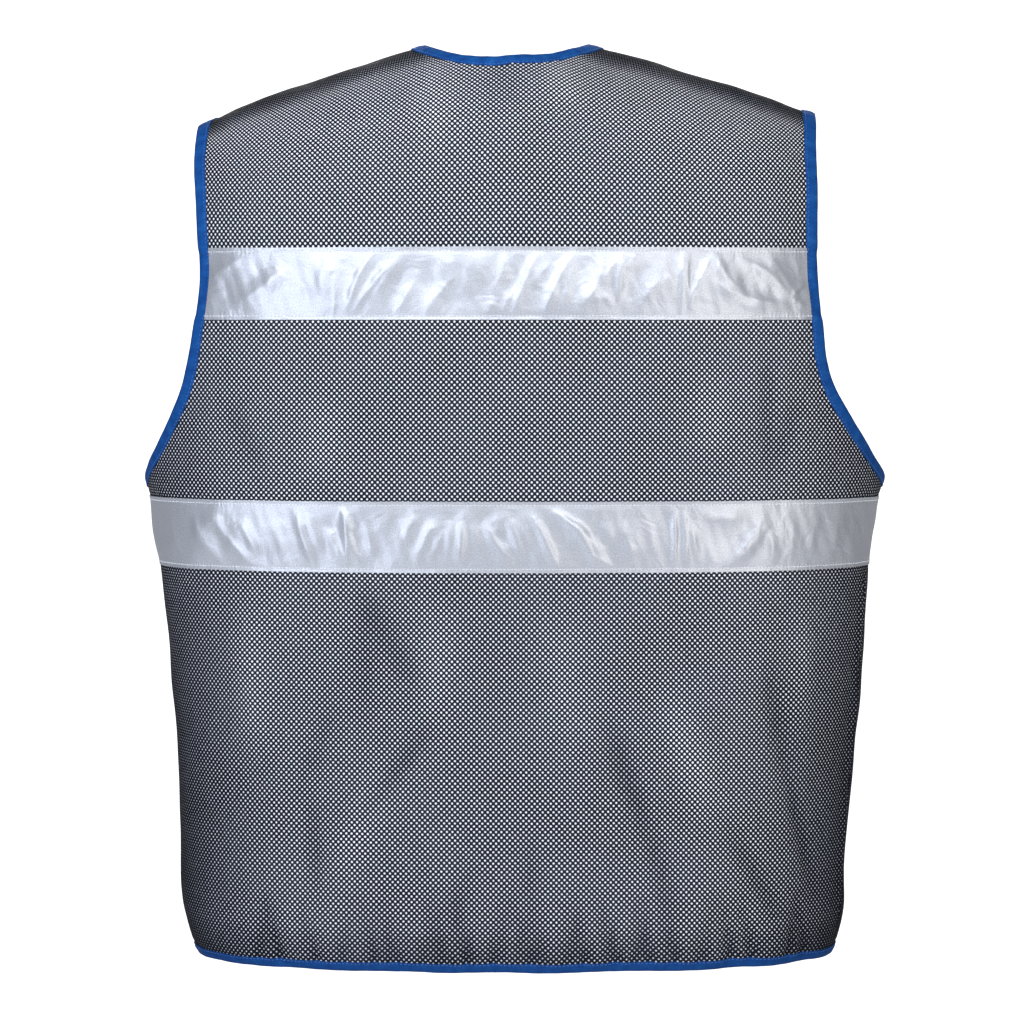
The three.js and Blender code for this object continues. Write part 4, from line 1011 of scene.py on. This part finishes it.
band_pieces = {}
band_spacing = {1: 1.25, -1: 1.8}
TAPE_THICKNESS = 0.35
tape_rows = (
    # name, top, puckers on the back, slack
    ("chest", CHEST_TAPE, chest_puckers, 0.95),
    ("waist", WAIST_TAPE, waist_puckers, 1.4),
)
for band_name, top, back_rows, slack in tape_rows:
    front_rows = front_puckers()
    for place, face, hands in (("back", 1, (1, -1)), ("front_left", -1, (1,)), ("front_right", -1, (-1,))):
        spacing = band_spacing[face]
        bed = [
            {"face": face, "grids": [band_grid(face, hand, top, spacing)], "strips": {}}
            for hand in hands
        ]
        relief = band_relief(top, back_rows if face > 0 else front_rows, slack)
        node = f"{band_name}_band_{place}"
        band = cloth_shell(f"{band_name}_tape_{place}", bed, TAPE_THICKNESS, relief, inner_relief=1.0)
        band.data.materials.append(tape.material)
        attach(band, "root")
        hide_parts(node)
        band_pieces[band_name, place] = band


# Sewing: lockstitch in polyester thread, one row 2.6 mm in from each edge of the tapes. Each
# stitch is a short flattened roll of thread that dips into the cloth at both ends.
def stitch_nodes():
    """A node group that lays an object along a line at a spacing, standing up along its normal."""
    group = bpy.data.node_groups.new("stitch_row", "GeometryNodeTree")
    sockets = group.interface
    sockets.new_socket("Line", in_out="INPUT", socket_type="NodeSocketGeometry")
    sockets.new_socket("Spacing", in_out="INPUT", socket_type="NodeSocketFloat")
    sockets.new_socket("Unit", in_out="INPUT", socket_type="NodeSocketObject")
    sockets.new_socket("Finish", in_out="INPUT", socket_type="NodeSocketMaterial")
    sockets.new_socket("Row", in_out="OUTPUT", socket_type="NodeSocketGeometry")
    add, link = group.nodes.new, group.links.new
    given, result = add("NodeGroupInput"), add("NodeGroupOutput")
    curve, points = add("GeometryNodeMeshToCurve"), add("GeometryNodeResampleCurve")
    points.mode = "LENGTH"
    unit_info, place = add("GeometryNodeObjectInfo"), add("GeometryNodeInstanceOnPoints")
    tangent, up = add("GeometryNodeInputTangent"), add("GeometryNodeInputNamedAttribute")
    up.data_type = "FLOAT_VECTOR"
    up.inputs["Name"].default_value = "up"
    along, stand = add("FunctionNodeAlignRotationToVector"), add("FunctionNodeAlignRotationToVector")
    along.axis, stand.axis, stand.pivot_axis = "X", "Z", "X"
    real, finish = add("GeometryNodeRealizeInstances"), add("GeometryNodeSetMaterial")
    link(given.outputs["Line"], curve.inputs["Mesh"])
    link(curve.outputs["Curve"], points.inputs["Curve"])
    link(given.outputs["Spacing"], points.inputs["Length"])
    link(given.outputs["Unit"], unit_info.inputs["Object"])
    link(points.outputs["Curve"], place.inputs["Points"])
    link(unit_info.outputs["Geometry"], place.inputs["Instance"])
    link(tangent.outputs["Tangent"], along.inputs["Vector"])
    link(along.outputs["Rotation"], stand.inputs["Rotation"])
    link(up.outputs["Attribute"], stand.inputs["Vector"])
    link(stand.outputs["Rotation"], place.inputs["Rotation"])
    link(place.outputs["Instances"], real.inputs["Geometry"])
    link(real.outputs["Geometry"], finish.inputs["Geometry"])
    link(given.outputs["Finish"], finish.inputs["Material"])
    link(finish.outputs["Geometry"], result.inputs["Row"])
    return group


row_nodes = stitch_nodes()


def tube_faces(rings, corners, closed=False):
    """Faces between rings of corners in a row, with a cap at each end unless it is closed."""
    faces = []
    for i in range(rings if closed else rings - 1):
        shift = ((i + 1) % rings - i) * corners
        for k in range(corners):
            a, b = i * corners + k, i * corners + (k + 1) % corners
            faces.append((a, b, b + shift, a + shift))
    if not closed:
        faces += [tuple(range(corners))[::-1], tuple(range((rings - 1) * corners, rings * corners))]
    return faces


def roll(name, length, width, height):
    """A rounded roll along X, narrower at its ends and dipped there, in mm."""
    sides, points = 6, []
    rings = (
        # place, size, dip
        (-0.5, 0.35, 0.35), (-0.3, 0.9, 0.0), (0.0, 1.0, 0.0), (0.3, 0.9, 0.0), (0.5, 0.35, 0.35),
    )
    for share, size, dip in rings:
        for turn in np.arange(sides) * 2 * math.pi / sides:
            y = math.cos(turn) * size * width / 2
            z = math.sin(turn) * size * height / 2 - dip * height
            points.append((share * length / 1000, y / 1000, z / 1000))
    return make_object(name, points, tube_faces(len(rings), sides))


def repeat_along(name, lines, unit, spacing, finish):
    """Lays a unit along lines, each a pair of points in mm and their upward normals."""
    points, ups, edges = [], [], []
    for line, normals in lines:
        start = len(points)
        points += list(np.asarray(line) / 1000)
        ups += list(normals)
        edges += [(i, i + 1) for i in range(start, len(points) - 1)]
    mesh = bpy.data.meshes.new(name + "_line")
    mesh.from_pydata([tuple(p) for p in points], edges, [])
    mesh.attributes.new("up", "FLOAT_VECTOR", "POINT").data.foreach_set("vector", np.ravel(ups))
    guide = bpy.data.objects.new(name + "_line", mesh)
    scene.collection.objects.link(guide)
    modifier = guide.modifiers.new("row", "NODES")
    modifier.node_group = row_nodes
    values = {"Spacing": spacing / 1000, "Unit": unit, "Finish": finish}
    for item in row_nodes.interface.items_tree:
        if item.in_out == "INPUT" and item.name in values:
            modifier[item.identifier] = values[item.name]
    whole = bpy.data.meshes.new_from_object(
        guide.evaluated_get(bpy.context.evaluated_depsgraph_get()))
    piece = bpy.data.objects.new(name, whole)
    whole.name = name
    whole.polygons.foreach_set("use_smooth", [True] * len(whole.polygons))
    scene.collection.objects.link(piece)
    bpy.data.objects.remove(guide)
    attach(piece, "root")
    return piece


def polyester_thread(name, colour, dark, light, roughness):
    """Twisted filament thread: a soft gloss, broken into light and dark by the twist."""
    thread = Shader(name, Base_Color=linear(colour), Roughness=roughness)
    place = thread.add("ShaderNodeTexCoord").outputs["Object"]
    twist = thread.add("ShaderNodeTexNoise", inputs={"Vector": place, "Scale": every(0.3333)})
    thread.link(thread.ramp(twist.outputs[0], (0.3, dark), (0.7, light)), "Base Color")
    thread.link(thread.bump(twist.outputs[0], 0.00015, 0.5), "Normal")
    return thread.material


silver_thread = polyester_thread("silver_polyester_thread", "#aeb3c0", "#c3c8d4", "#eef0f5", 0.5)
STITCH_STEP, STITCH_IN, THREAD_RISE, ROW_POINTS = 2.6, 2.6, 0.12, 240
stitch_unit = roll("stitch", 2.0, 0.8, 0.6)
tape_lines = {1: [], -1: []}
for face in (1, -1):
    for _, top, rows, slack in tape_rows:
        relief = band_relief(top, rows if face > 0 else [], slack)
        for climb in (top - STITCH_IN, top - TAPE_WIDTH + STITCH_IN):
            for hand in (1, -1):
                angle = np.linspace(*band_ends(face, hand, climb, clear=2, reach=0.998), ROW_POINTS)
                level = np.full(ROW_POINTS, climb)
                rise = relief(face, angle, level) + THREAD_RISE
                normal = outward(form, face, angle, level)
                tape_lines[face].append((form(face, angle, level) + normal * rise[:, None], normal))
tape_stitches = [
    repeat_along("tape_stitches_back", tape_lines[1], stitch_unit, STITCH_STEP, silver_thread),
    repeat_along("tape_stitches_front", tape_lines[-1], stitch_unit, STITCH_STEP, silver_thread),
]


# Bindings: royal-blue cotton bias tape, folded over every raw edge and sewn through near its
# inner side. The fold is puffy and the seam draws it into small dimples.
def skin(face, at):
    """Points on the outer face of a panel, with the cloth's relief, and their normals."""
    angle, climb = at[:, 0], at[:, 1]
    normal = outward(form, face, angle, climb)
    return form(face, angle, climb) + normal * panel_relief(face, angle, climb)[:, None], normal


def refined(line, times):
    share = np.arange((len(line) - 1) * times + 1) / times
    return np.stack([np.interp(share, np.arange(len(line)), line[:, k]) for k in (0, 1)], -1)


def binding_course(runs, closed):
    """Edge and inner points with normals along a whole binding, from strips of half panels."""
    parts = []
    for face, hand, edge_name, backwards in runs:
        edge, inner = (refined(line, 2) for line in halves[face, hand]["strips"][edge_name])
        if backwards:
            edge, inner = edge[::-1], inner[::-1]
        parts.append([*skin(face, edge), *skin(face, inner)])
    course = [np.concatenate([parts[0][k]] + [p[k][1:] for p in parts[1:]]) for k in range(4)]
    if closed:
        course = [line[:-1] for line in course]
    return course


binding_section = [
    # share of the way from the inner line to the edge, height off the cloth
    (0.02, 0.1), (0.03, 0.62), (0.1, 0.92), (0.2, 0.74),
    (0.3, 0.98), (0.5, 1.3), (0.72, 1.42), (0.92, 1.3),
]
binding_inside = (
    # share of the way, height under the cloth's outer face, out past the edge
    (0.02, -PANEL - 0.08, 0),
    (1.0, -PANEL - 0.08, 0),
    (1.0, -PANEL + 0.1, 0.15),
    (1.0, -0.1, 0.15),
    (1.0, 0.08, 0),
)
FOLD_TURNS = np.radians((62, 32, 0, -32, -62))
SEAM_SHARE, SEAM_ABOVE, SEAM_BELOW = 0.2, 0.82, -PANEL - 0.72
NAPE_WIDTH, NAPE_RISE, NAPE_BEYOND, HEM_UNDER = 60.0, 0.36, 2.6, 0.4
TAPE_ROUND = 0.026


def bind(name, runs, closed, node, beyond):
    """Bias tape folded round an edge, as a closed U with a rounded fold that stands up at the nape
    and is turned under at the hem."""
    edge, edge_up, inner, inner_up = binding_course(runs, closed)
    nape = np.clip(1 - (edge[:, 0] / NAPE_WIDTH) ** 2, 0, 1) * np.clip((edge[:, 1] + 10) / 20, 0, 1)
    nape = nape * (edge[:, 2] > -60)
    turned_under = HEM_UNDER * (edge[:, 2] < HEM + 8)
    inner = inner + (edge - inner) * (NAPE_RISE * nape + turned_under)[:, None]
    beyond = beyond + NAPE_BEYOND * nape
    away = edge - inner
    away = unit(away - edge_up * (away * edge_up).sum(-1, keepdims=True))
    steps = np.roll(edge, -1, axis=0) - edge
    run = np.concatenate([[0], np.cumsum(np.linalg.norm(steps[:-1], axis=-1))])
    puff = 1 + 0.16 * np.sin(run / 2.3) + 0.12 * np.sin(run / 5.1 + 1) + 0.1 * np.sin(run / 11.7 + 2)
    rings = []

    def place(share, lift, out=0.0):
        mixed = inner + (edge - inner) * share
        up = unit(inner_up + (edge_up - inner_up) * share)
        rings.append(mixed + up * np.asarray(lift)[..., None] + away * np.asarray(out)[..., None])

    whole = np.ones(len(edge))
    for share, lift in binding_section:
        place(share, 0.3 * lift + 0.7 * lift * puff)
    tall = PANEL / 2 + 1.3
    for turn in FOLD_TURNS:
        place(1.0, whole * (-PANEL / 2) + tall * math.sin(turn) * whole,
              (0.5 + beyond * math.cos(turn)) * (0.75 + 0.25 * puff))
    for share, lift in binding_section[::-1]:
        place(share, -PANEL - (0.3 * lift + 0.7 * lift * puff) * 0.9)
    for share, lift, out in binding_inside:
        place(share, lift * whole, out * whole)
    count, ring = len(edge), len(rings)
    points = np.stack(rings, 1).reshape(-1, 3)
    piece = make_object(name, points / 1000, tube_faces(count, ring, closed))
    settle_normals(piece)
    wide = np.tile(np.linspace(0, TAPE_ROUND, ring), count)
    lay_out(piece, np.stack([np.repeat(run[:count], ring) / 1000, wide], -1))
    piece.data.materials.append(bias.material)
    # Painted shade: the tape darkens the lower it lies, standing in for the light that falls off towards
    # the hem.
    shade_toward_hem = np.clip(0.15 - points[:, 2] / 1100, 0, 0.7)
    piece.data.attributes.new("shade_toward_hem", "FLOAT", "POINT").data.foreach_set("value", shade_toward_hem)
    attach(piece, "root")
    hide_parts(node)
    up = unit(inner_up + (edge_up - inner_up) * SEAM_SHARE)
    seam = []
    for lift, way in ((SEAM_ABOVE, up), (SEAM_BELOW, -up)):
        line = inner + (edge - inner) * SEAM_SHARE + up * lift
        if closed:
            line, way = np.concatenate([line, line[:1]]), np.concatenate([way, way[:1]])
        seam.append((line, way))
    return piece, seam


def settle_normals(piece):
    """Turns a closed mesh's faces outward."""
    work = bmesh.new()
    work.from_mesh(piece.data)
    bmesh.ops.recalc_face_normals(work, faces=work.faces)
    work.to_mesh(piece.data)
    work.free()


# Dyed cotton: matt, with a fine slanting weave and a dye that is a little uneven. It is darkened towards
# the hem as painted shade, where less light falls.
bias = Shader("royal_blue_bias_tape", Roughness=0.7, Specular_IOR_Level=0.08)
bias_uv = bias.add("ShaderNodeUVMap", uv_map="cloth").outputs[0]
bias_shade = bias.add("ShaderNodeTexNoise", inputs={"Vector": bias_uv, "Scale": every(6.25), "Detail": 3.0})
bias_dye = bias.ramp(bias_shade.outputs[0], (0.3, "#12468f"), (0.55, "#1a58a4"), (0.8, "#2b6dba"))
bias_shade_toward_hem = bias.add("ShaderNodeAttribute", attribute_name="shade_toward_hem").outputs["Fac"]
bias.link(bias.mix(bias_shade_toward_hem, bias_dye, linear("#0d2f62")), "Base Color")
bias_weave = bias.add("ShaderNodeTexWave", inputs={
    "Vector": bias_uv, "Scale": every(1.208) * SLANTED_WAVE, "Distortion": 0.6}, bands_direction="DIAGONAL")
bias_fibre = bias.add("ShaderNodeTexNoise", inputs={"Vector": bias_uv, "Scale": every(0.417)})
bias_ground = bias.bump(bias_weave.outputs["Fac"], 0.00018, 0.5)
bias.link(bias.bump(bias_fibre.outputs[0], 0.00012, 0.4, bias_ground), "Normal")
blue_thread = polyester_thread("blue_polyester_thread", "#173f86", "#102f6c", "#3f70bd", 0.45)


def zip_to_zip(edge_name):
    """The runs of an edge all round the vest: face, hand, edge, and whether it runs backwards."""
    return [(-1, 1, edge_name, False), (1, 1, edge_name, True),
            (1, -1, edge_name, False), (-1, -1, edge_name, True)]


def round_arm(hand):
    return [(1, hand, "armhole", False), (-1, hand, "armhole", True)]


BINDING_STITCH_STEP = 3.0
binding_seams = []
for name, runs, closed, node, beyond in (
    ("neck_tape", zip_to_zip("neck"), False, "neck_binding", 2.2),
    ("hem_tape", zip_to_zip("hem"), False, "hem_binding", 1.1),
    ("armhole_tape_left", round_arm(1), True, "armhole_binding_left", 1.3),
    ("armhole_tape_right", round_arm(-1), True, "armhole_binding_right", 1.3),
):
    piece, seam = bind(name, runs, closed, node, beyond)
    binding_seams += seam
binding_stitches = repeat_along(
    "binding_stitches", binding_seams, stitch_unit, BINDING_STITCH_STEP, blue_thread)


# Front zip: black woven tape sewn behind both front edges, a nylon coil between them, and a
# painted metal slider with a flat pull, up at the neck.
ZIP_BELOW_HEM, ZIP_BELOW_NECK, ZIP_ROWS = 0.6, 2.5, 90
zip_top = float(halves[-1, 1]["strips"]["neck"][1][0, 1]) - ZIP_BELOW_NECK
zip_climb = np.linspace(HEM - ZIP_BELOW_HEM, zip_top, ZIP_ROWS)


def front_line(x, lift, climb=zip_climb):
    angle = angle_for_x(np.full(len(climb), float(x)), climb)
    normal = outward(form, -1, angle, climb)
    return form(-1, angle, climb) + normal * lift, normal


zip_section = (
    # across, off the cloth's outer face
    (-12, -4.3), (-6, -3.7), (0, -3.7), (6, -3.7), (12, -4.3), (12, -4.9), (0, -4.4), (-12, -4.9),
)
zip_points = np.stack([front_line(x, lift)[0] for x, lift in zip_section], 1).reshape(-1, 3)
zip_tape = make_object("zip_tape", zip_points / 1000, tube_faces(len(zip_climb), len(zip_section)))
settle_normals(zip_tape)
# Woven polyester: matt black, with a rib across the tape at each weft thread.
tape_cloth = Shader("black_zip_tape", Roughness=0.8, Base_Color=linear("#15171d"))
tape_at = tape_cloth.add("ShaderNodeTexCoord").outputs["Object"]
tape_ribs = tape_cloth.add("ShaderNodeTexWave", inputs={
    "Vector": tape_at, "Scale": every(1.047) * LEVEL_WAVE}, bands_direction="Z")
tape_shade = tape_cloth.ramp(tape_ribs.outputs["Fac"], (0.2, "#0e1015"), (0.8, "#23262f"))
tape_cloth.link(tape_shade, "Base Color")
tape_cloth.link(tape_cloth.bump(tape_ribs.outputs["Fac"], 0.0002, 0.6), "Normal")
zip_tape.data.materials.append(tape_cloth.material)
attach(zip_tape, "root")

# Extruded nylon wire, wound and pressed: black with a soft gloss and a faint haze.
nylon = Shader("black_nylon_coil", Roughness=0.34, Base_Color=linear("#1a1c22"))
nylon_at = nylon.add("ShaderNodeTexCoord").outputs["Object"]
nylon_haze = nylon.add("ShaderNodeTexNoise", inputs={"Vector": nylon_at, "Scale": every(1.43)})
nylon.link(nylon.ramp(nylon_haze.outputs[0], (0.3, "#14161b"), (0.7, "#282b34")), "Base Color")
TOOTH_STEP, COIL_LEVEL = 1.55, -2.4
tooth = roll("tooth", 5.4, 1.35, 2.2)
tooth.data.transform(Matrix.Rotation(math.pi / 2, 4, "Z"))
coil = repeat_along("zip_coil", [front_line(0, COIL_LEVEL)], tooth, TOOTH_STEP, nylon.material)

# Two rows of lockstitch hold each front edge to the tape.
edge_climb = np.linspace(HEM + 12, zip_top - 6, 150)
edge_rows = []
for hand in (1, -1):
    for off in (2.0, 7.5):
        x = hand * (ZIP_EDGE + off)
        line, normal = front_line(x, 0.0, edge_climb)
        angle = angle_for_x(np.full(len(edge_climb), x), edge_climb)
        rise = panel_relief(-1, angle, edge_climb) + THREAD_RISE
        edge_rows.append((line + normal * rise[:, None], normal))
repeat_along("zip_edge_stitches", edge_rows, stitch_unit, BINDING_STITCH_STEP, tape_cloth.material)
for pattern in (tooth, stitch_unit):
    bpy.data.objects.remove(pattern)


def plate(name, outline, hole, level, thickness, soft):
    """A flat plate with softened edges from an outline in X and Z, with a hole of as many points."""
    rings = []
    for shape, sign in ((outline, 1), (hole, -1)) if hole is not None else ((outline, 1),):
        shape = np.asarray(shape, float)
        middle = shape.mean(axis=0)
        for depth_share, inset in ((0, 1), (soft / thickness, 0), (1 - soft / thickness, 0), (1, 1)):
            way = unit(middle - shape) * soft * inset * sign
            flat = shape + way
            y = np.full(len(flat), level - thickness * depth_share)
            rings.append(np.stack([flat[:, 0], y, flat[:, 1]], -1))
    count = len(outline)
    points, faces = np.concatenate(rings), []

    def join(a, b):
        for k in range(count):
            m = (k + 1) % count
            faces.append((a * count + k, a * count + m, b * count + m, b * count + k))

    for a in range(3):
        join(a, a + 1)
    if hole is None:
        faces.append(tuple(range(count)))
        faces.append(tuple(range(3 * count, 4 * count)))
    else:
        for a in range(4, 7):
            join(a, a + 1)
        join(0, 4)
        join(3, 7)
    piece = make_object(name, points / 1000, faces, smooth=False)
    settle_normals(piece)
    return piece


def oval(x, z, width, height, count=32, squareness=2.0):
    turn = np.linspace(0, 2 * math.pi, count, endpoint=False)
    c, n = np.cos(turn), np.sin(turn)
    power = 2 / squareness
    return np.stack([x + np.sign(c) * np.abs(c) ** power * width / 2,
                     z + np.sign(n) * np.abs(n) ** power * height / 2], -1)


SLIDER_WIDTH, SLIDER_HEIGHT, SLIDER_TAPER = 7.6, 11.0, 0.18
PULL_WIDTH, PULL_LENGTH = 5.2, 26.0
slider_z = zip_top - 6.5
slider_face = float(form(-1, np.array([0.0]), np.array([zip_top]))[0, 1])
shield = oval(0, slider_z, SLIDER_WIDTH, SLIDER_HEIGHT, squareness=3.2)
from_top = np.clip(0.5 - (shield[:, 1] - slider_z) / SLIDER_HEIGHT, 0, 1)
shield[:, 0] *= 1 - SLIDER_TAPER * from_top
slider_parts = [
    plate("slider_front", shield, None, slider_face - 1.5, 1.5, 0.45),
    plate("slider_back", shield, None, slider_face + 0.9, 1.3, 0.4),
    plate("slider_wedge", oval(0, slider_z + 3.4, 2.4, 3.2), None, slider_face + 0.4, 2.6, 0.3),
    plate("slider_bridge", oval(0, slider_z + 0.6, 1.9, 7.4, squareness=3.0), None,
          slider_face - 2.6, 1.5, 0.5),
]
pull_top = slider_z + 2.5
pull_shape = oval(0, pull_top - PULL_LENGTH / 2, PULL_WIDTH, PULL_LENGTH, 48, 4.0)
pull_hole = oval(0, pull_top - 21.5, 2.5, 5.0, 48, 2.4)
pull = plate("zip_pull", pull_shape, pull_hole, slider_face - 3.5, 1.2, 0.35)
# Cast zinc under black paint: a dull metal gloss, with lighter flecks where the paint is thin.
painted = Shader("black_painted_zinc", Metallic=0.6, Roughness=0.38, Base_Color=linear("#1c1e24"))
painted_at = painted.add("ShaderNodeTexCoord").outputs["Object"]
painted_wear = painted.add("ShaderNodeTexNoise", inputs={
    "Vector": painted_at, "Scale": every(2.38), "Detail": 4.0})
painted_shade = painted.ramp(
    painted_wear.outputs[0], (0.35, "#14161b"), (0.72, "#2b2e37"), (0.8, "#5f636c"))
painted.link(painted_shade, "Base Color")
painted.link(painted.bump(painted_wear.outputs[0], 0.0001, 0.3), "Normal")
for piece in [*slider_parts, pull]:
    piece.data.materials.append(painted.material)
    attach(piece, "root")
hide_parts("front_zip")


# What each sheet of cloth was cut to before sewing, in metres, with the trims that go with it.
tape_lengths = {"chest": (0.46, 0.205), "waist": (0.66, 0.325)}
for (band_name, place), band in band_pieces.items():
    width = tape_lengths[band_name][0 if place == "back" else 1]
